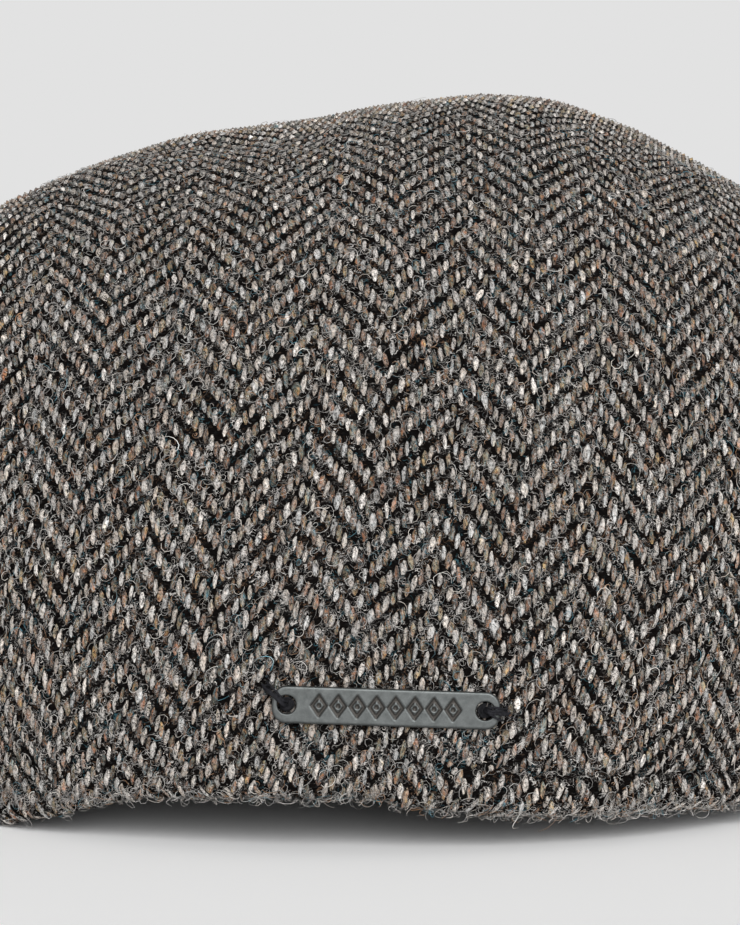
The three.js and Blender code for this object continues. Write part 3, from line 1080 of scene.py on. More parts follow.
PALETTES = {
    Thread.ECRU: Palette(((0.392, 0.367, 0.343), (0.358, 0.322, 0.287), (0.290, 0.246, 0.209),
                          (0.320, 0.319, 0.314), (0.34, 0.280, 0.18), (0.145, 0.19, 0.20)),
                         (6, 4, 2.0, 2.2, 0.9, 0.6), 0.17, 4),
    Thread.MIXED: Palette(((0.170, 0.120, 0.094), (0.160, 0.134, 0.092), (0.087, 0.062, 0.050),
                           (0.097, 0.103, 0.089), (0.213, 0.184, 0.160), (0.27, 0.110, 0.055),
                           (0.29, 0.190, 0.080), (0.068, 0.118, 0.138), (0.026, 0.098, 0.132)),
                          (3.2, 3.0, 2.0, 1.8, 1.6, 1.7, 1.9, 1.2, 0.9), 0.27, 5, 1.0),
    # The weft's greys are darker than the charcoal yarn's own: partly its colour, partly painted shade
    # between the floats.
    Thread.WEFT: Palette(((0.0040, 0.0036, 0.0036), (0.0070, 0.0062, 0.0060),
                          (0.005, 0.013, 0.017), (0.020, 0.013, 0.009)), (8, 4, 0.4, 1.2), 0.4,
                         4),
}
LOOSE_WOOL = Palette(((0.35, 0.34, 0.325), (0.27, 0.255, 0.245), (0.43, 0.40, 0.365),
                      (0.035, 0.12, 0.155), (0.22, 0.115, 0.055), (0.045, 0.042, 0.04)),
                     (6, 5, 3, 1.0, 1.5, 1.8), 0.22, 6, 0.4)


@dataclass(frozen=True)
class Bead:
    """One visible stretch of thread: a closed spindle that dips into the cloth at both ends.

    Lengths along and across are in threads, the others in millimetres. At a share s of the half
    length, from -1 to 1, the width is the full one times (1 - s^2) to a power, and the middle
    rises by the lift times (1 - s^2) and sinks by the dip times s^2.
    """

    half_length: float
    half_width: float
    half_thickness: float
    lift: float
    dip: float
    skew: float
    sides: int
    stations: tuple[float, ...]
    fullness: float = 0.45
    skew_spread: float = 0.07
    size_spread: float = 0.1
    ring_spread: float = 0.8
    wander: float = 0.06
    # How far the flanks and tips are darkened as painted shade, through the tint's fourth part; 1 marks
    # the fine floats.
    frayed: float = 1.0
    gain: float = 1.0
    strand_width: float = 2.4
    bake_border: float = 0.1

    @property
    def per_bead(self) -> int:
        """How many points one bead has: its rings and its two tips."""
        return self.sides * len(self.stations) + 2

    @property
    def angles(self) -> Array:
        """The angles of a ring's points: 0 is across, and a quarter turn is out of the cloth."""
        return 2 * np.pi * (np.arange(self.sides) + 0.5) / self.sides - np.pi / 2

    def build(self, parts: MeshParts, spots: Spots, reach: Array, tints: Array) -> None:
        """Add a bead at each spot.

        Args:
            parts: The mesh.
            spots: The beads' middles. Their steps along run with the thread.
            reach: Each bead's half length, as a multiple of the usual one.
            tints: The colours, n by per_bead by 3.
        """
        rng, count, rings = parts.rng, len(reach), len(self.stations)
        share = np.array(self.stations)
        swell = (1 - share ** 2) ** self.fullness
        size = np.exp(rng.normal(0, self.size_spread, (count, 1, 1)))
        ring_size = np.exp(rng.normal(0, self.size_spread * self.ring_spread, (count, rings, 1)))
        wander = rng.normal(0, self.wander, (count, rings, 1))
        skew = (self.skew + rng.normal(0, self.skew_spread, (count, 1, 1))) * share[:, None]
        width = self.half_width * swell[:, None] * size * ring_size
        x = width * np.cos(self.angles) + wander + skew
        y = np.broadcast_to((reach[:, None] * self.half_length * share)[..., None], x.shape)
        rise = self.lift * (1 - share ** 2) - self.dip * share ** 2
        thickness = self.half_thickness * swell[:, None] * size
        z = rise[:, None] + thickness * np.sin(self.angles)
        tip = np.array((-1.0, 1.0))
        tip_x = (self.skew * tip)[None] + wander[:, (0, -1), 0]
        x = np.concatenate((x.reshape(count, -1), tip_x), 1)
        y = np.concatenate((y.reshape(count, -1), reach[:, None] * self.half_length * tip), 1)
        z = np.concatenate((z.reshape(count, -1), np.full((count, 2), -self.dip)), 1)
        # The tint's fourth part is 1 on the crest and falls on the flanks and towards the tips; the yarn
        # finishes darken the colour by it, as painted shade.
        kept = np.broadcast_to(1 - self.frayed * (1 - self.crest())[:, None], (*tints.shape[:2], 1))
        add_copies(parts, spots.points(x, y, z), np.concatenate((tints, kept), -1), self.faces(),
                   (self.strand_width, 2.0 * self.half_length), self.bake_border)

    def crest(self) -> Array:
        """How near each point of a bead is to its crest: 1 on top, 0 below and at the tips."""
        along = np.sqrt(1 - np.array(self.stations) ** 2)[:, None]
        return joined((along * (0.5 + 0.5 * np.sin(self.angles))).ravel(), (0.0, 0.0))

    def faces(self) -> list[tuple[Array, Array]]:
        """How one bead's points are joined.

        Returns:
            Its quads and its tips' triangles, each with the places of their corners in a map.
        """
        sides, rings = self.sides, len(self.stations)
        height = (np.array(self.stations) + 1) / 2
        quads, around, ring = (grid[:, (0, 3, 2, 1)] for grid in tube_quads(rings, sides))
        side, last, tip = np.arange(sides), (rings - 1) * sides, rings * sides
        following = (side + 1) % sides
        shares = stacked(side, side + 1, side + 0.5) / sides
        tips = joined(stacked(side, following, tip), stacked(last + following, last + side, tip + 1))
        flats = joined(stacked(shares, np.array((height[0], height[0], 0.0))),
                       stacked(shares[:, (1, 0, 2)], np.array((height[-1], height[-1], 1.0))))
        return [(quads, stacked(around, height[ring])), (tips, flats)]


@dataclass(frozen=True)
class Weave:
    """A herringbone of twill, two over and two under, that is turned after every twelfth end."""

    stripe: int = 12
    twill: int = 4
    float_length: int = 2
    turn_shift: int = 20

    def step(self, end: Array) -> Array:
        """The pick at which an end's float begins: falling, then rising, with clean breaks."""
        place = end % (2 * self.stripe)
        return np.where(place < self.stripe, 1 - place, place - self.turn_shift)

    def warp(self, cloth: Cloth) -> tuple[Array, Array]:
        """Every float of the warp, over a panel's whole range.

        Args:
            cloth: The panel.

        Returns:
            Each float's end, and its middle among the picks.
        """
        ends = np.arange(math.floor(cloth.ends.min()), math.ceil(cloth.ends.max()) + 1)
        repeats = np.arange(math.floor(cloth.picks.min() / self.twill) - 1,
                            math.ceil(cloth.picks.max() / self.twill) + 2)
        end, repeat = pairs(ends, repeats)
        middle = (self.step(end) % self.twill) + self.twill * repeat + self.float_length / 2
        return end, middle

    def weft(self, cloth: Cloth) -> tuple[Array, Array, Array]:
        """Every float of the weft, over a panel's whole range.

        Args:
            cloth: The panel.

        Returns:
            Each float's middle among the ends, its middle among the picks, and its length in ends.
        """
        ends = np.arange(math.floor(cloth.ends.min()) - 3, math.ceil(cloth.ends.max()) + 4)
        picks = np.arange(math.floor(cloth.picks.min()), math.ceil(cloth.picks.max()) + 1)
        end, pick = np.meshgrid(ends, picks, indexing="ij")
        on_top = (pick - self.step(end)) % self.twill >= self.float_length
        starts = on_top[1:-2] & ~on_top[:-3]
        length = 1 + on_top[2:-1] + (on_top[2:-1] & on_top[3:])
        length, end, pick = length[starts], end[1:-2][starts], pick[1:-2][starts]
        return end + length / 2, pick + 0.5, length


@dataclass(frozen=True)
class LooseWool:
    """Curly fibres that stand out of the cloth, each a tapered tube with three sides.

    A fibre's heading turns by its curl at every step, with a little chance added, and its height
    follows half a sine, so that most fibres come back to the cloth.
    """

    turn: Pair
    curl_radius: Pair
    height: Pair
    longest: float = 4.2
    radius: float = 0.036
    radius_spread: float = 0.25
    taper: float = 0.55
    stations: int = 7
    base: float = 0.12
    unrest: float = 0.16
    jitter: float = 0.03
    early_crest: float = 0.9
    free_share: float = 0.25

    def build(self, parts: MeshParts, spots: Spots) -> None:
        """Add a fibre at each spot, never lower than its own thickness above the floor.

        Args:
            parts: The mesh.
            spots: Where the fibres begin. Of their steps only the directions count.
        """
        rng, count, stations = parts.rng, len(spots.place), self.stations
        curl = np.exp(rng.uniform(*np.log(self.curl_radius), (count, 1)))
        length = np.minimum(curl * rng.uniform(*self.turn, (count, 1)), self.longest)
        step = length / (stations - 1)
        turn = rng.choice((-1.0, 1.0), (count, 1)) / curl
        k = np.arange(stations)
        heading = (rng.uniform(0, 2 * np.pi, (count, 1)) + turn * step * k
                   + np.cumsum(rng.normal(0, self.unrest, (count, stations)), 1))
        share = k / (stations - 1)
        high = rng.uniform(*self.height, (count, 1))
        closed = np.sin(np.pi * share ** self.early_crest)
        free = np.sin(np.pi / 2 * share)
        is_free = rng.random((count, 1)) < self.free_share
        z = self.base + high * np.where(is_free, free, closed)
        z = z + np.cumsum(rng.normal(0, self.jitter, (count, stations)), 1)
        spots = Spots(spots.place, unit(spots.across), unit(spots.along), spots.normal)
        path = spots.points(np.cumsum(np.cos(heading) * step, 1), np.cumsum(np.sin(heading) * step, 1), z)
        path[..., 2] = np.maximum(path[..., 2], 2 * self.radius)
        radius = self.radius * np.exp(rng.normal(0, self.radius_spread, (count, 1)))
        radius = radius * (1 - self.taper * share ** 2)
        add_tubes(parts, path, radius, spots.normal, 3, LOOSE_WOOL.draw(count, stations, rng))


@dataclass(frozen=True)
class Tweed:
    """Dresses a panel's cloth with its threads and its loose wool."""

    rng: Chance = field(default_factory=lambda: np.random.default_rng(74))
    weave: Weave = Weave()
    near_warp: Bead = Bead(1.68, 0.51, 0.27, 0.08, 0.34, -0.07, 6, (-0.72, -0.25, 0.25, 0.72),
                           fullness=0.92, skew_spread=0.16, size_spread=0.14, gain=0.955)
    near_weft: Bead = Bead(0.62, 0.42, 0.22, 0.02, 0.24, 0.0, 3, (0.0,))
    # The coarse floats carry a weaker painted shade on their flanks and tips.
    far_warp: Bead = Bead(1.78, 0.80, 0.36, 0.12, 0.24, 0.09, 3, (0.0,), skew_spread=0.12,
                          frayed=0.3, gain=1.12)
    near_wool: LooseWool = LooseWool((1.8, 6.2), (0.20, 1.4), (0.10, 0.50), radius=0.041)
    far_wool: LooseWool = LooseWool((1.5, 5.0), (0.4, 2.2), (0.15, 0.7), radius=0.05, stations=5)
    hem_wool: LooseWool = LooseWool((2.0, 6.5), (0.2, 0.8), (0.15, 1.2), free_share=0.5)
    long_wool: LooseWool = LooseWool((1.5, 4.0), (0.6, 2.0), (0.3, 1.6), radius=0.034,
                                     stations=9, free_share=0.8)
    first_row: float = 3.2
    sewn_from: float = 9.0
    length_spread: float = 0.07
    shortest: float = 0.3
    near_middle: float = -4.0
    near_ends: float = 76.0
    near_picks: float = 131.0

    def is_near(self, ends: Array, picks: Array) -> Array:
        """Whether threads are in the part of the back that has the finest dressing."""
        return (np.abs(ends - self.near_middle) < self.near_ends) & (picks < self.near_picks)

    def warp(self, cloth: Cloth, bead: Bead, near: bool | None = None,
             kinds: tuple[Thread, ...] = (Thread.ECRU, Thread.MIXED)) -> MeshParts:
        """The warp's floats on a panel.

        Args:
            cloth: The panel.
            bead: The shape of a float.
            near: Only the floats inside (True) or outside (False) the finest part, or all.
            kinds: Which yarns are made; ecru and mixed ends take turns.

        Returns:
            The mesh.
        """
        end, middle = self.weave.warp(cloth)
        row, column, found = cloth.locate(end + 0.5, middle.astype(float))
        found &= row > self.first_row
        if near is not None:
            found &= self.is_near(end, middle) == near
        parts = MeshParts(self.rng)
        for parity, kind in enumerate((Thread.ECRU, Thread.MIXED)):
            if kind not in kinds:
                continue
            chosen = found & (end % 2 == parity)
            spots = cloth.spots(row[chosen], column[chosen])
            reach = np.exp(self.rng.normal(0, self.length_spread, len(spots.place)))
            reach *= self.tucked(cloth, bead, row[chosen], column[chosen], -spots.place[:, 0])
            kept = reach > self.shortest
            tints = PALETTES[kind].draw(int(kept.sum()), bead.per_bead, self.rng) * bead.gain
            bead.build(parts, spots.only(kept), reach[kept], tints)
        return parts

    def tucked(self, cloth: Cloth, bead: Bead, row: Array, column: Array, right: Array) -> Array:
        """How much of each float is left where the hem's sewn line pulls it in.

        Args:
            cloth: The panel.
            bead: The shape of a float.
            row: Each float's row.
            column: Its column.
            right: How far to the wearer's right it lies.

        Returns:
            1 away from the line, and less within a float's half length of it. Coarse floats are
            shorter near the hem too.
        """
        from_hem = cloth.sample(cloth.from_hem, row, column)[0]
        half = bead.half_length * Grain.pick_pitch
        away = np.abs(from_hem - Relief.stitch_line) / half
        left = np.where(right > self.sewn_from, np.clip(1.3 * away + 0.1, 0.0, 1.0), 1.0)
        if bead.frayed == 1.0:
            return left
        return left * np.clip(0.35 * from_hem / half + 0.45, 0.5, 1.0)

    def weft(self, cloth: Cloth, bead: Bead) -> MeshParts:
        """The weft's floats on the finest part of the back.

        Args:
            cloth: The panel.
            bead: The shape of a float.

        Returns:
            The mesh.
        """
        end, pick, length = self.weave.weft(cloth)
        row, column, found = cloth.locate(end, pick)
        found &= self.is_near(end, pick)
        spots = cloth.spots(row[found], column[found])
        spots = Spots(spots.place, -spots.along, spots.across, spots.normal)
        tints = PALETTES[Thread.WEFT].draw(len(spots.place), bead.per_bead, self.rng)
        parts = MeshParts(self.rng)
        bead.build(parts, spots, length[found].astype(float), tints)
        return parts

    def wool(self, cloth: Cloth, fibres: LooseWool, count: int, near: bool | None = None,
             between: Pair | None = None) -> MeshParts:
        """Loose wool on a panel.

        Args:
            cloth: The panel.
            fibres: What the fibres are like.
            count: How many.
            near: Only inside (True) or outside (False) the finest part of the back, or all over.
            between: The picks between which the fibres begin, if not everywhere.

        Returns:
            The mesh.
        """
        ends, picks = cloth.ends[:-1, :-1], cloth.picks[:-1, :-1]
        keep = np.ones_like(ends)
        if near is not None:
            keep = keep * (self.is_near(ends, picks) == near)
        if between is not None:
            keep = keep * (picks > between[0]) * (picks < between[1])
        keep[:1] = 0
        parts = MeshParts(self.rng)
        fibres.build(parts, cloth.spots(*cloth.scatter(count, self.rng, keep)))
        return parts


# ------------------ bar and threads
@dataclass(frozen=True)
class BarFrame:
    """The bar's own frame: x to the wearer's right, y up, z out of the cloth, from its back."""

    middle: Array
    tilt: float = 1.9

    def place(self, parts: MeshParts) -> MeshParts:
        """Carry a mesh from the bar's frame into the cap's.

        Args:
            parts: The mesh, whose points are changed.

        Returns:
            The same mesh.
        """
        sine, cosine = math.sin(math.radians(self.tilt)), math.cos(math.radians(self.tilt))
        axes = np.array(((-cosine, 0.0, -sine), (-sine, 0.0, cosine), (0.0, 1.0, 0.0)))
        parts.points = [points @ axes + self.middle for points in parts.points]
        return parts


@dataclass
class Bar:
    """The pewter bar: a plate with round ends, two holes and a chain of lozenges cut into it."""

    half_length: float = 15.0
    half_height: float = 2.45
    corner: float = 1.9
    thickness: float = 0.8
    edge_inset: float = 0.30
    edge_drop: float = 0.24
    hole_inset: float = 1.95
    hole_radius: float = 1.25
    hole_edge: float = 0.14
    join: float = 10.6
    columns: int = 160
    rows: int = 36
    corner_steps: int = 10
    straight_steps: int = 5
    end_steps: int = 4
    spread_steps: int = 6
    carve_depth: float = 0.16
    carve_slope: float = 0.09
    lozenges: int = 8
    lozenge_pitch: float = 2.52
    lozenge_half_width: float = 1.16
    lozenge_half_height: float = 1.62
    lozenge_stroke: float = 0.44
    dot_radius: float = 0.32
    parts: MeshParts = field(default_factory=MeshParts)

    @property
    def heights(self) -> Array:
        """The heights of the carved middle's rows of points."""
        return np.linspace(-1, 1, self.rows + 1) * (self.half_height - self.edge_inset)

    @property
    def hole(self) -> Array:
        """The middle of the right end's hole."""
        return np.array((self.half_length - self.hole_inset, 0.0))

    def outline(self, inset: float) -> Array:
        """The plate's outline, counter-clockwise from the join below the right end.

        Args:
            inset: How far inside the real edge it lies.

        Returns:
            The points, as x and y.
        """
        h, length, r = self.half_height - inset, self.half_length - inset, self.corner - inset
        straight = np.linspace(self.join, self.half_length - self.corner, self.straight_steps + 1)
        arc = np.linspace(-np.pi / 2, 0, self.corner_steps + 1)[1:]
        corner = stacked(self.half_length - self.corner + r * np.cos(arc),
                         self.corner - self.half_height + r * np.sin(arc))
        below = joined(stacked(straight, -h), corner)
        rise = np.linspace(-1, 1, self.end_steps + 1)[1:-1] * (self.half_height - self.corner)
        end = stacked(length, rise)
        right = joined(below, end, below[::-1] * (1, -1))
        middle = np.linspace(self.join, -self.join, self.columns + 1)[1:-1]
        top = stacked(middle, h)
        left, bottom = -right, -top
        return joined(right, top, left, bottom)

    def end_loop(self) -> Array:
        """The closed outline of the right end's flat face, from below the join round.

        Returns:
            The points, as x and y, with the first one again at the end.
        """
        edge = self.outline(self.edge_inset)
        edge = edge[:len(edge) // 2 - self.columns + 1]
        join = stacked(self.join, self.heights[::-1][1:-1])
        return joined(edge, join, edge[:1])

    def carved(self, x: Array, y: Array) -> Array:
        """How deep the ornament is, from 0 to 1: lozenge frames, each with a dot inside.

        A lozenge frame is where the sum of the shares across and up, less 1, stays within half a
        stroke; a dot is a small disc. Both walls slope over a short way.

        Args:
            x: Places along the bar.
            y: Places up the bar.

        Returns:
            The share of the full depth.
        """
        middle = (self.lozenges - 1) / 2
        index = np.clip(np.round(x / self.lozenge_pitch + middle), 0, self.lozenges - 1)
        dx = x - (index - middle) * self.lozenge_pitch
        a, b = self.lozenge_half_width, self.lozenge_half_height
        inner = self.lozenge_stroke / 2
        slope = math.hypot(1 / a, 1 / b)
        frame = inner - np.abs((np.abs(dx) / a + np.abs(y) / b - 1) / slope + inner)
        dot = self.dot_radius - np.hypot(dx, y)
        return smoothstep(np.maximum(frame, dot), -self.carve_slope / 2, self.carve_slope / 2)

    def build(self) -> MeshParts:
        """The whole plate: carved middle, two holed ends, rounded edges, and the back.

        Returns:
            The mesh in the bar's frame, with a colour that is 1 where the ornament is deep.
        """
        x, y = np.meshgrid(np.linspace(-self.join, self.join, self.columns + 1), self.heights)
        carve = self.carved(x, y)
        for front in (True, False):
            depth = self.thickness - self.carve_depth * carve if front else carve * 0
            self.add_grid(x, y, depth, not front, carve * front)
        for side in (1.0, -1.0):
            self.add_end(side)
        self.add_edge()
        return self.parts

    def add_grid(self, x: Array, y: Array, z: Array | float, flip: bool,
                 dark: Array | float = 0.0) -> None:
        """Add one grid of points.

        Args:
            x: Places along the bar.
            y: Places up the bar.
            z: Heights above the bar's back, for each place or for each row.
            flip: Whether the faces are turned over.
            dark: How dark each point is.
        """
        points = stacked(x, y, z)
        first = self.parts.add_points(points, stacked(dark, dark, x * 0 + dark))
        self.parts.add_faces(grid_faces(*x.shape, first, flip))

    def rounded(self, inset: float, drop: float, steps: int) -> tuple[Array, Array]:
        """A quarter ellipse in front and one behind, round the edge of the plate or of a hole.

        Args:
            inset: How far in the rounding goes.
            drop: How far down it goes.
            steps: How many points each quarter has.

        Returns:
            How far in each point lies, and its height as a column.
        """
        turn = np.radians(np.linspace(90, 0, steps))
        inwards, fall = inset * (1 - np.cos(turn)), drop * (1 - np.sin(turn))
        return (joined(inwards, inwards[::-1]), joined(self.thickness - fall, fall[::-1])[:, None])

    def add_edge(self) -> None:
        """Add the rounded edge, carried round the plate."""
        inset, z = self.rounded(self.edge_inset, self.edge_drop, 6)
        loops = np.stack([self.outline(value) for value in inset])
        loops = np.concatenate((loops, loops[:, :1]), 1)
        self.add_grid(loops[..., 0], loops[..., 1], z, True)

    def add_end(self, side: float) -> None:
        """Add a round end as loops about its hole: its front, the hole's wall and its back.

        Args:
            side: 1 for the right end, -1 for the left.
        """
        loop, steps = self.end_loop(), self.spread_steps
        wider, z = self.rounded(self.hole_edge, self.hole_edge, 5)
        spoke = unit(loop - self.hole)
        wall = self.hole + spoke * (self.hole_radius + wider)[:, None, None]
        share = np.linspace(0, 1, steps + 1)[1:, None, None]
        face = wall[0] + (loop - wall[0]) * share
        loops = joined(face[::-1], wall, face) * (side, 1.0)
        z = joined(np.full((steps, 1), self.thickness), z, np.zeros((steps, 1)))
        self.add_grid(loops[..., 0], loops[..., 1], z, side < 0)


@dataclass(frozen=True)
class ThreadTie:
    """The waxed threads that hold one end of the bar: out of its hole and over its end.

    Everything is built in the bar's frame, and side is 1 for its right end and -1 for its left.
    """

    name: str
    side: float
    out: float
    up: float
    strands: int = 8
    radius: float = 0.155
    stations: int = 26
    rise: float = 0.62
    root: float = 0.15
    spread: float = 0.42
    ply: float = 0.16
    twist: float = 0.55
    frayed: int = 9
    frayed_radius: float = 0.055
    frayed_stations: int = 9
    coils: int = 4
    coil_radius: float = 0.16
    seed: int = 5

    def build(self, bar: Bar) -> MeshParts:
        """Every strand of the tie, and the frayed ends where it enters the cloth.

        A strand rises out of the hole, runs over the end of the bar and dives into the cloth. Its
        height is the bar's thickness and the rise, times a flat-topped arch.

        Args:
            bar: The bar that it holds.

        Returns:
            The mesh in the bar's frame.
        """
        rng = np.random.default_rng(self.seed)
        parts = MeshParts(rng)
        share = np.linspace(0, 1, self.stations)
        hole = bar.hole * (self.side, 1.0)
        start = rng.uniform(-0.4, 0.4, (self.strands, 1, 2)) * (0.7, 1.0)
        finish = rng.normal(0, self.spread, (self.strands, 1, 2))
        reach = np.array((self.side * self.out, self.up)) * (1 + rng.uniform(
            -0.08, 0.22, (self.strands, 1, 1)))
        plan = hole + start * (1 - share[:, None]) + (reach + finish) * share[:, None]
        plan[..., 1] += rng.uniform(-1, 1, (self.strands, 1)) * 0.22 * np.sin(np.pi * share)
        arch = np.minimum(1.0, np.sin(np.pi * share) * 1.9) ** 0.8
        over = bar.thickness + self.rise * rng.uniform(0.5, 1.0, (self.strands, 1))
        height = -self.root + (over + self.root) * arch
        self.add_threads(parts, stacked(plan[..., 0], plan[..., 1], height), self.radius, 8,
                         (0.003, 0.011, 1.3))
        self.add_coils(parts, hole)
        self.add_frayed(parts, hole + (self.side * self.out, self.up))
        return parts

    def add_threads(self, parts: MeshParts, path: Array, radius: Array | float, sides: int,
                    tone: Triple, ply: float | None = None) -> None:
        """Add dark threads along paths.

        Args:
            parts: The mesh.
            path: The threads' middles, n by k by 3.
            radius: Their radius, or one for each place on a thread.
            sides: Points of a ring.
            tone: The darkest and the lightest grey, and how blue they are.
            ply: How deep the groove between the yarns is, if not as usual.
        """
        low, high, blue = tone
        tints = parts.rng.uniform(low, high, (*path.shape[:2], 1)) * (1.0, 1.0, blue)
        out = np.broadcast_to((0.0, 0.0, 1.0), (len(path), 3))
        add_tubes(parts, path, np.broadcast_to(radius, path.shape[:2]), out, sides, tints,
                  self.ply if ply is None else ply, self.twist)

    def add_coils(self, parts: MeshParts, hole: Array) -> None:
        """Add the turns of thread that fill the hole, each a loop that lies aslant in it.

        Args:
            parts: The mesh.
            hole: The hole's middle.
        """
        rng = parts.rng
        turn = np.linspace(0, 2 * np.pi, 21) + rng.uniform(0, 2 * np.pi, (self.coils, 1))
        size = np.linspace(0.22, 0.86, self.coils)[:, None]
        height = 0.18 + 0.14 * np.sin(turn + rng.uniform(0, 6.0, (self.coils, 1)))
        path = stacked(hole[0] + size * np.cos(turn), hole[1] + size * np.sin(turn), height)
        self.add_threads(parts, path, self.coil_radius, 6, (0.002, 0.007, 1.3))

    def add_frayed(self, parts: MeshParts, place: Array) -> None:
        """Add the short loose ends beside the place where the threads enter the cloth.

        Args:
            parts: The mesh.
            place: Where the threads enter the cloth.
        """
        rng, count, stations = parts.rng, self.frayed, self.frayed_stations
        share = np.linspace(0, 1, stations)
        heading = rng.uniform(-1.6, 1.6, (count, 1)) + rng.normal(0, 1.6, (count, 1)) * share
        length = rng.uniform(0.8, 2.2, (count, 1))
        x = self.side * np.cumsum(np.cos(heading), 1) * length / stations
        y = np.cumsum(np.sin(heading), 1) * length / stations
        z = 0.25 + rng.uniform(0.2, 0.9, (count, 1)) * np.sin(np.pi * share * 0.8)
        path = stacked(place[0] - self.side * 0.4 + x, place[1] + y, z)
        radius = self.frayed_radius * (1 - 0.5 * share)
        self.add_threads(parts, path, radius, 5, (0.006, 0.03, 1.2), 0.0)


# ------------------ finishes
def feed(socket: Socket, value: object) -> None:
    """Set a node's socket to a constant, or join it to another socket.

    Args:
        socket: The socket.
        value: The constant, or the socket that feeds it.
    """
    if isinstance(value, Socket):
        socket.id_data.links.new(value, socket)
    else:
        socket.default_value = value


class Nodes:
    """The nodes of a material or of the world, which start empty."""

    def __init__(self, owner: bpy.types.Material | bpy.types.World) -> None:
        """Clear the owner's nodes.

        Args:
            owner: The material or the world.
        """
        self.owner = owner
        owner.use_nodes = True
        owner.node_tree.nodes.clear()

    def node(self, kind: str, values: dict[str | int, object] | None = None,
             **settings: object) -> bpy.types.Node:
        """Add a node.

        Args:
            kind: Its type.
            values: Constants for its sockets, or sockets that feed them.
            settings: Its own settings.

        Returns:
            The node.
        """
        node = self.owner.node_tree.nodes.new(kind)
        for key, value in settings.items():
            setattr(node, key, value)
        for key, value in (values or {}).items():
            feed(node.inputs[key], value)
        return node


class Shader(Nodes):
    """A material whose nodes are being laid out."""

    def __init__(self, name: str) -> None:
        """Start a material with a plain surface.

        Args:
            name: The material's name.
        """
        super().__init__(bpy.data.materials.new(name))
        self.surface = self.node("ShaderNodeBsdfPrincipled")
        self.node("ShaderNodeOutputMaterial", {"Surface": self.surface.outputs["BSDF"]})

    def dress(self, **values: object) -> bpy.types.Material:
        """Set sockets of the surface.

        Args:
            values: What each is set to or fed by. The names have _ for spaces.

        Returns:
            The material.
        """
        for key, value in values.items():
            feed(self.surface.inputs[key.replace("_", " ")], value)
        return self.owner

    def tint(self, part: str = "Color") -> Socket:
        """The colour that the mesh's points carry, or its fourth part."""
        return self.node("ShaderNodeAttribute", attribute_name="tint").outputs[part]

    def map(self, name: str, scale: Triple, turn: float = 0.0) -> Socket:
        """One of the piece's own maps, turned and then scaled.

        Args:
            name: The map's name.
            scale: The scale along each axis.
            turn: The turn, in radians.

        Returns:
            The vector.
        """
        source = self.node("ShaderNodeUVMap", uv_map=name).outputs["UV"]
        turned = self.node("ShaderNodeMapping", {"Vector": source, "Rotation": (0.0, 0.0, turn)})
        return self.node("ShaderNodeMapping", {"Vector": turned.outputs[0], "Scale": scale}).outputs[0]

    def place(self, scale: Triple = (1.0, 1.0, 1.0), shift: float = 0.0) -> Socket:
        """The piece's own coordinates, scaled and shifted."""
        source = self.node("ShaderNodeTexCoord").outputs["Object"]
        return self.node("ShaderNodeMapping", {"Vector": source, "Scale": scale,
                                               "Location": (shift,) * 3}).outputs[0]

    def maths(self, kind: str, one: object, other: object = 0.0) -> Socket:
        """One number, or two, put through a kind of arithmetic."""
        return self.node("ShaderNodeMath", {0: one, 1: other}, operation=kind).outputs[0]

    def curls(self, scale: float, shift: float, share: float) -> Socket:
        """Thin wandering lines like fibres, broken up by a second noise.

        Args:
            scale: How many curls fit in a metre.
            shift: Where in the noise they are taken from.
            share: Roughly how much of the lines is kept.

        Returns:
            1 on a line and 0 beside it.
        """
        smooth = self.noise(self.place(shift=shift), scale, 1.0, 0.5, 0.9)
        away = self.maths("ABSOLUTE", self.maths("SUBTRACT", smooth, 0.5))
        width = 0.021 * scale / 1000.0
        line = self.ranged(away, 0.5 * width, width, 1.0, 0.0)
        patches = self.noise(self.place(shift=shift + 0.5), scale * 0.45, 0.0)
        lowest = 0.5 - 0.4 * (share - 0.5)
        return self.maths("MULTIPLY", line, self.ranged(patches, lowest, lowest + 0.04, 0.0, 1.0))

    def noise(self, vector: Socket, scale: float, detail: float = 3.0, roughness: float = 0.6,
              distortion: float = 0.0) -> Socket:
        """Noise over a vector, about 0.5."""
        return self.node("ShaderNodeTexNoise", {
            "Vector": vector, "Scale": scale, "Detail": detail, "Roughness": roughness,
            "Distortion": distortion}).outputs["Fac"]

    def ranged(self, value: Socket, low: float, high: float, to_low: float, to_high: float) -> Socket:
        """A value mapped from one range to another and kept inside it."""
        return self.node("ShaderNodeMapRange", {
            "Value": value, "From Min": low, "From Max": high, "To Min": to_low,
            "To Max": to_high}).outputs["Result"]

    def mixed(self, share: Socket, one: Socket | Colour, other: Colour) -> Socket:
        """Two colours mixed, by the share of the second.

        Args:
            share: The share of the second colour.
            one: The first colour, as a socket or as numbers.
            other: The second colour.

        Returns:
            The mixed colour.
        """
        node = self.node("ShaderNodeMix", {0: share}, data_type="RGBA")
        sockets = [socket for socket in node.inputs if socket.type == "RGBA"]
        for socket, value in zip(sockets, (one, other)):
            feed(socket, (*value, 1.0) if isinstance(value, tuple) else value)
        return next(socket for socket in node.outputs if socket.type == "RGBA")

    def scaled(self, colour: Socket, factor: Socket) -> Socket:
        """A colour times a number."""
        return self.node("ShaderNodeVectorMath", {0: colour, "Scale": factor},
                         operation="SCALE").outputs["Vector"]

    def bumped(self, height: Socket, strength: float, distance: float,
               under: Socket | None = None) -> Socket:
        """A normal bent by a height.

        Args:
            height: The height.
            strength: How much of the bump is kept.
            distance: How high the height's 1 is, in metres.
            under: Another normal, which the bump lies on.

        Returns:
            The bent normal.
        """
        bump = self.node("ShaderNodeBump", {"Height": height, "Strength": strength, "Distance": distance})
        if under is not None:
            feed(bump.inputs["Normal"], under)
        return bump.outputs["Normal"]


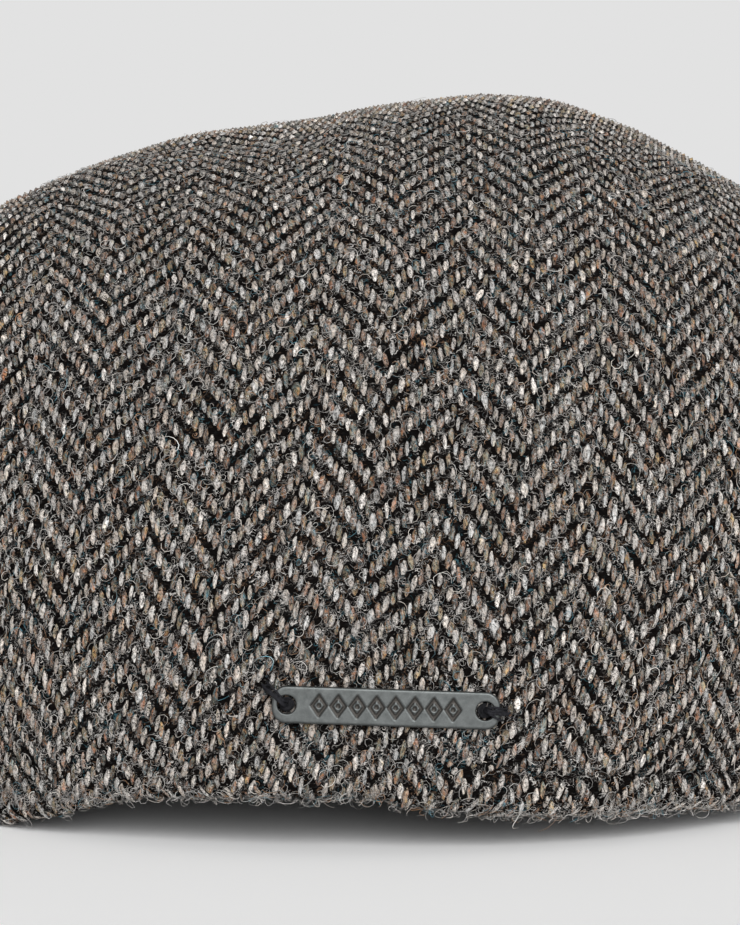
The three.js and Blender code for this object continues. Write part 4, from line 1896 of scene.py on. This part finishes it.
@dataclass(frozen=True)
class YarnFinish:
    """Soft woollen yarn: fine fibres that wind round the thread, in light and dark streaks.

    Strands of a warm and a cool dyed fibre run in it, and loose fibres lie across it. Dark curly lines
    are painted shadows of loose fibres, and the flanks and tips of each float are darkened as painted
    shade.
    """

    name: str
    contrast: float = 0.75
    dyed: float = 0.15
    fuzz: float = 0.75
    # How bright the yarn stays under the painted shadows of loose fibres.
    fibre_shadow_tone: float = 0.12
    sheen: float = 0.05
    relief: float = 0.00016
    warm: Colour = (0.24, 0.105, 0.05)
    cool: Colour = (0.04, 0.105, 0.13)
    fibre: Colour = (0.385, 0.372, 0.36)

    def material(self) -> bpy.types.Material:
        """Lay the finish out.

        Returns:
            The material.
        """
        shader = Shader(self.name)
        streak = shader.noise(shader.map("strand", (3.6, 1.7, 1.0), 0.3), 1.0, 4.0, 0.75, 0.6)
        dye = shader.noise(shader.map("strand", (3.0, 1.1, 1.0), 0.3), 1.1, 2.0, 0.6)
        light = shader.ranged(streak, 0.37, 0.63, 1 - self.contrast, 1 + self.contrast)
        # Painted shade: the flanks and tips of each float, where the tint's fourth part is low, are
        # darkened, with a ragged edge from the streaks.
        ragged_flank_shade = shader.maths("ADD", shader.tint("Alpha"), shader.maths("MULTIPLY", streak, 2.4))
        light = shader.maths("MULTIPLY", light, shader.ranged(ragged_flank_shade, 1.68, 1.90, 0.03, 1.0))
        # Painted shadows of loose fibres: dark curly lines across the yarn.
        painted_fibre_shadows = shader.ranged(shader.curls(1500.0, 0.83, 0.8), 0.0, 1.0, 1.0, self.fibre_shadow_tone)
        light = shader.maths("MULTIPLY", light, painted_fibre_shadows)
        warm = shader.ranged(dye, 0.56, 0.63, 0.0, self.dyed)
        cool = shader.ranged(dye, 0.36, 0.43, self.dyed, 0.0)
        colour = shader.mixed(cool, shader.mixed(warm, shader.tint(), self.warm), self.cool)
        colour = shader.scaled(colour, light)
        across = shader.curls(1250.0, 0.37, 0.7)
        colour = shader.mixed(shader.ranged(across, 0.0, 1.0, 0.0, self.fuzz), colour, self.fibre)
        normal = shader.bumped(streak, 0.9, self.relief)
        return shader.dress(Base_Color=colour, Roughness=0.95, Sheen_Weight=self.sheen,
                            Sheen_Roughness=0.5, Specular_IOR_Level=0.08,
                            Normal=shader.bumped(across, 0.6, 0.00008, normal))


@dataclass(frozen=True)
class GroundFinish:
    """The cloth under the floats: nearly black weft in close rows, under webs of loose fibres. Its near
    black is partly the charcoal weft's own colour and partly painted shade between the floats.

    A web has a number of curls in a metre, a shift, a share that is kept and a colour.
    """

    name: str
    # Partly painted shade: darker than the weft's own colour.
    base: Colour = (0.0016, 0.0013, 0.0012)
    rise: Colour = (0.0075, 0.0060, 0.0055)
    webs: tuple[tuple[float, float, float, Colour], ...] = (
        (800.0, 0.11, 0.30, (0.025, 0.060, 0.072)), (1000.0, 0.71, 0.35, (0.075, 0.046, 0.030)),
        (1500.0, 0.23, 0.50, (0.11, 0.103, 0.097)), (1250.0, 0.37, 0.38, (0.40, 0.38, 0.36)))

    def material(self) -> bpy.types.Material:
        """Lay the finish out.

        Returns:
            The material.
        """
        shader = Shader(self.name)
        threads = shader.map("threads", (1.0, 1.0, 1.0))
        fibre = shader.noise(shader.map("threads", (0.7, 3.0, 1.0)), 2.4, 4.0, 0.65)
        rows = shader.node("ShaderNodeTexWave", {"Vector": threads, "Scale": 0.5,
                                                 "Distortion": 0.8, "Detail": 2.0},
                           bands_direction="Y").outputs["Fac"]
        colour = shader.mixed(shader.ranged(fibre, 0.4, 0.7, 0.0, 1.0), self.base, self.rise)
        for scale, shift, share, tone in self.webs:
            web = shader.curls(scale, shift, share)
            colour = shader.mixed(web, colour, tone)
        normal = shader.bumped(fibre, 0.7, 0.0002, shader.bumped(rows, 0.6, 0.0002))
        return shader.dress(Base_Color=colour, Roughness=0.95, Specular_IOR_Level=0.02,
                            Normal=shader.bumped(web, 0.7, 0.0001, normal))


@dataclass(frozen=True)
class PewterFinish:
    """Antique pewter: a mottled, finely brushed grey that is dark where it is cut in."""

    name: str
    light: Colour = (0.092, 0.098, 0.097)
    dull: Colour = (0.061, 0.066, 0.065)
    deep: Colour = (0.034, 0.031, 0.028)

    def material(self) -> bpy.types.Material:
        """Lay the finish out.

        Returns:
            The material.
        """
        shader = Shader(self.name)
        cloud = shader.noise(shader.place(), 900.0, 5.0, 0.7)
        grain = shader.noise(shader.place((1.0, 1.0, 3.0)), 5200.0, 3.0, 0.7)
        brushed = shader.noise(shader.place((0.12, 1.0, 1.0)), 9000.0, 2.0, 0.6)
        plain = shader.mixed(shader.ranged(cloud, 0.35, 0.65, 0.0, 1.0), self.dull, self.light)
        plain = shader.scaled(plain, shader.ranged(grain, 0.25, 0.75, 0.82, 1.15))
        colour = shader.mixed(shader.ranged(shader.tint(), 0.25, 0.8, 0.0, 1.0), plain, self.deep)
        rough = shader.ranged(grain, 0.3, 0.7, 0.36, 0.52)
        normal = shader.bumped(brushed, 0.25, 0.00002)
        return shader.dress(Base_Color=colour, Metallic=0.85, Roughness=rough,
                            Normal=shader.bumped(grain, 0.35, 0.00003, normal))


@dataclass(frozen=True)
class StrandFinish:
    """A fibre or a thread in its own colour, uneven along its length and slightly glossy."""

    name: str
    stretch: Triple
    grain: float
    shades: Pair
    roughness: float
    gloss: float
    turn: float = 0.0
    relief: float = 0.0

    def material(self) -> bpy.types.Material:
        """Lay the finish out.

        Returns:
            The material.
        """
        shader = Shader(self.name)
        uneven = shader.noise(shader.map("strand", self.stretch, self.turn), self.grain)
        colour = shader.scaled(shader.tint(), shader.ranged(uneven, 0.3, 0.7, *self.shades))
        if self.relief:
            shader.dress(Normal=shader.bumped(uneven, 0.6, self.relief))
        return shader.dress(Base_Color=colour, Roughness=self.roughness, Specular_IOR_Level=self.gloss)


# ------------------ studio
@dataclass(frozen=True)
class Lamp:
    """A distant soft light, by the way to it from the cap."""

    name: str
    towards: Triple
    strength: float
    softness: float


@dataclass(frozen=True)
class Studio:
    """A pale floor without a horizon, an even sky, lamps, and a level close view of the back."""

    backdrop: float = 0.7605
    sky: float = 0.285
    floor_white: float = 0.95
    floor_half: float = 14.0
    floor_drop: float = 0.0002
    lamps: tuple[Lamp, ...] = (Lamp("key", (-0.16, 0.88, 0.37), 4.35, 42.0),
                               Lamp("front", (0.20, -0.94, 0.28), 1.6, 30.0))
    lens: float = 82.82
    sensor: float = 36.0
    view_offset: float = 0.0021
    view_distance: float = 0.280
    view_height: float = 0.0515

    def build(self, bar_low: Array, bar_high: Array) -> None:
        """Set up the view transform, sky, lamps, floor and camera.

        Args:
            bar_low: The bar's lowest corner, in metres.
            bar_high: Its highest corner.
        """
        scene = bpy.context.scene
        scene.view_settings.view_transform = "Standard"
        scene.view_settings.look = "None"
        self.build_sky()
        for lamp in self.lamps:
            light = bpy.data.lights.new(lamp.name, "SUN")
            light.energy, light.angle = lamp.strength, math.radians(lamp.softness)
            placed = bpy.data.objects.new(lamp.name, light)
            x, y, z = lamp.towards
            placed.rotation_euler = (math.atan2(math.hypot(x, y), z), 0.0, math.atan2(x, -y))
            scene.collection.objects.link(placed)
        self.build_floor()
        camera = bpy.data.cameras.new("view")
        camera.lens, camera.sensor_width = self.lens, self.sensor
        camera.clip_start = 0.01
        scene.camera = bpy.data.objects.new("view", camera)
        scene.camera.location = ((bar_low[0] + bar_high[0]) / 2 + self.view_offset,
                                 bar_low[1] + self.view_distance, self.view_height)
        scene.camera.rotation_euler = (math.pi / 2, 0.0, math.pi)
        scene.collection.objects.link(scene.camera)

    def build_sky(self) -> None:
        """Light the scene evenly from all sides, behind a backdrop of its own brightness."""
        world = bpy.context.scene.world = bpy.data.worlds.new("sky")
        nodes = Nodes(world)
        lighting, seen = (
            nodes.node("ShaderNodeBackground", {"Color": (grey, grey, grey, 1.0),
                                                "Strength": strength}).outputs[0]
            for grey, strength in ((1.0, self.sky), (self.backdrop, 1.0)))
        path = nodes.node("ShaderNodeLightPath").outputs["Is Camera Ray"]
        mix = nodes.node("ShaderNodeMixShader", {0: path, 1: lighting, 2: seen})
        nodes.node("ShaderNodeOutputWorld", {"Surface": mix.outputs[0]})

    def build_floor(self) -> None:
        """Lay the floor, a wide plain sheet just under the hem."""
        half, height = self.floor_half, -self.floor_drop
        mesh = bpy.data.meshes.new("floor")
        mesh.from_pydata([(-half, -half, height), (half, -half, height), (half, half, height),
                          (-half, half, height)], [], [(0, 1, 2, 3)])
        floor = bpy.data.objects.new("floor", mesh)
        mesh.materials.append(Shader("pale_floor").dress(
            Base_Color=(self.floor_white,) * 3 + (1.0,), Roughness=1.0, Specular_IOR_Level=0.0))
        bpy.context.scene.collection.objects.link(floor)


# ------------------ the cap
class Finish(Enum):
    """The finishes of the cap's pieces."""

    ECRU = YarnFinish("ecru_yarn")
    MIXED = YarnFinish("mixed_yarn", contrast=0.7, dyed=0.6)
    WEFT = YarnFinish("charcoal_yarn", contrast=0.7, dyed=0.02, fuzz=0.7, sheen=0.0)
    GROUND = GroundFinish("tweed_ground")
    WOOL = StrandFinish("loose_wool", (1.0, 1.0, 1.0), 2.0, (0.7, 1.3), 0.6, 0.25)
    PEWTER = PewterFinish("antique_pewter")
    WAXED = StrandFinish("waxed_thread", (6.0, 1.0, 1.0), 4.0, (0.6, 1.9), 0.75, 0.2, 0.5, 0.00006)


@dataclass
class FlatCap:
    """The whole cap: builds every piece, dresses it and hands it to the frame."""

    origin: Array
    panels: PanelMaker = PanelMaker()
    tweed: Tweed = Tweed()
    bar: Bar = field(default_factory=Bar)
    ties: tuple[ThreadTie, ...] = (ThreadTie("left", -1.0, 2.5, 2.2),
                                   ThreadTie("right", 1.0, 2.95, -0.3, seed=8))
    near_fibres: int = 3800
    far_fibres: int = 1100
    side_fibres: int = 440
    peak_fibres: int = 220
    hem_fibres: int = 750
    long_fibres: int = 60
    materials: dict[Finish, bpy.types.Material] = field(default_factory=dict)
    total: int = 0

    def add(self, name: str, parts: MeshParts, finish: Finish, slot: str,
            *stands_for: str) -> bpy.types.Object:
        """Make a piece, dress it and put it on the model's body.

        Args:
            name: The piece's name.
            parts: Its mesh.
            finish: Its finish.
            slot: The name of a material slot; not used.
            stands_for: The solids that it replaces.

        Returns:
            The piece.
        """
        piece = parts.make(name, self.origin)
        if finish not in self.materials:
            self.materials[finish] = finish.value.material()
        piece.data.materials.append(self.materials[finish])
        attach(piece, "root")
        if stands_for:
            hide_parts(*stands_for)
        self.total += parts.triangles()
        LOG.info("%s: %d triangles, %d in all", name, parts.triangles(), self.total)
        return piece

    def merge(self, piece: bpy.types.Object) -> None:
        """Join the points of a piece that lie in the same place.

        Args:
            piece: The piece.
        """
        work = bmesh.new()
        work.from_mesh(piece.data)
        bmesh.ops.remove_doubles(work, verts=work.verts, dist=2e-6)
        work.to_mesh(piece.data)
        work.free()

    def build(self) -> None:
        """Build the panels with their threads, then the bar and its ties."""
        self.build_top()
        for side, name in ((1, "left"), (-1, "right")):
            self.cover(f"{name}_side", self.panels.side_panel(side), f"side_panel_{name}",
                       "side_tweed", self.side_fibres)
        self.cover("peak", self.panels.peak(), "peak", "peak_tweed", self.peak_fibres)
        self.build_bar()

    def build_top(self) -> None:
        """Build the long panel over the top and down the back, which is finest at the back."""
        cloth, tweed, slot = self.panels.top_panel(), self.tweed, "top_tweed"
        self.add("top_cloth", cloth.shell(), Finish.GROUND, slot, "top_panel")
        for kind, finish in ((Thread.ECRU, Finish.ECRU), (Thread.MIXED, Finish.MIXED)):
            self.add(f"back_{kind.value}_warp",
                     tweed.warp(cloth, tweed.near_warp, True, (kind,)), finish, slot)
        self.add("back_weft", tweed.weft(cloth, tweed.near_weft), Finish.WEFT, slot)
        self.add("top_warp", tweed.warp(cloth, tweed.far_warp, False), Finish.ECRU, slot)
        for name, fibres, count, near, between in (
                ("lower_loose_wool", tweed.near_wool, self.near_fibres, True, None),
                ("upper_loose_wool", tweed.near_wool, self.near_fibres, True, None),
                ("hem_loose_wool", tweed.hem_wool, self.hem_fibres, True, (-1.3, 0.7)),
                ("hem_long_wool", tweed.long_wool, self.long_fibres, True, (-1.5, 0.8)),
                ("top_loose_wool", tweed.far_wool, self.far_fibres, False, None)):
            self.add(name, tweed.wool(cloth, fibres, count, near, between), Finish.WOOL, slot)

    def cover(self, name: str, cloth: Cloth, solid: str, slot: str, fibres: int) -> None:
        """Build a panel away from the back: its cloth, its coarse warp and its loose wool.

        Args:
            name: What the names of the pieces begin with.
            cloth: The panel.
            solid: The solid that the cloth replaces.
            slot: The name of a material slot, handed on to add, which does not use it.
            fibres: How many loose fibres lie on it.
        """
        tweed = self.tweed
        self.add(f"{name}_cloth", cloth.shell(), Finish.GROUND, slot, solid)
        self.add(f"{name}_warp", tweed.warp(cloth, tweed.far_warp), Finish.ECRU, slot)
        self.add(f"{name}_loose_wool", tweed.wool(cloth, tweed.far_wool, fibres), Finish.WOOL, slot)

    def build_bar(self) -> None:
        """Build the pewter bar and the threads that hold it."""
        frame = BarFrame(self.panels.lines.crown.bar_middle)
        plate = frame.place(self.bar.build())
        self.merge(self.add("pewter_bar", plate, Finish.PEWTER, "pewter", "name_tag"))
        for tie in self.ties:
            self.add(f"{tie.name}_thread_tie", frame.place(tie.build(self.bar)), Finish.WAXED,
                     "black_thread", f"thread_tie_{tie.name}")


def corners(box: object) -> list[list[float]]:
    """A box as two plain lists of numbers."""
    return [[float(value) for value in corner] for corner in box]


def main() -> None:
    """Load the frame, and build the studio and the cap."""
    logging.basicConfig(level=logging.INFO, format="%(name)s: %(message)s")
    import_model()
    low, high = (np.array(corner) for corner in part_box("name_tag"))
    Studio().build(low, high)
    back = np.array(((low[0] + high[0]) / 2, low[1], (low[2] + high[2]) / 2))
    origin = back / METRES - Crown().bar_middle
    LOG.info("the cap's own origin lies at %s mm", np.round(origin, 3))
    FlatCap(origin).build()
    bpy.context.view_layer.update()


if __name__ == "__main__":
    main()
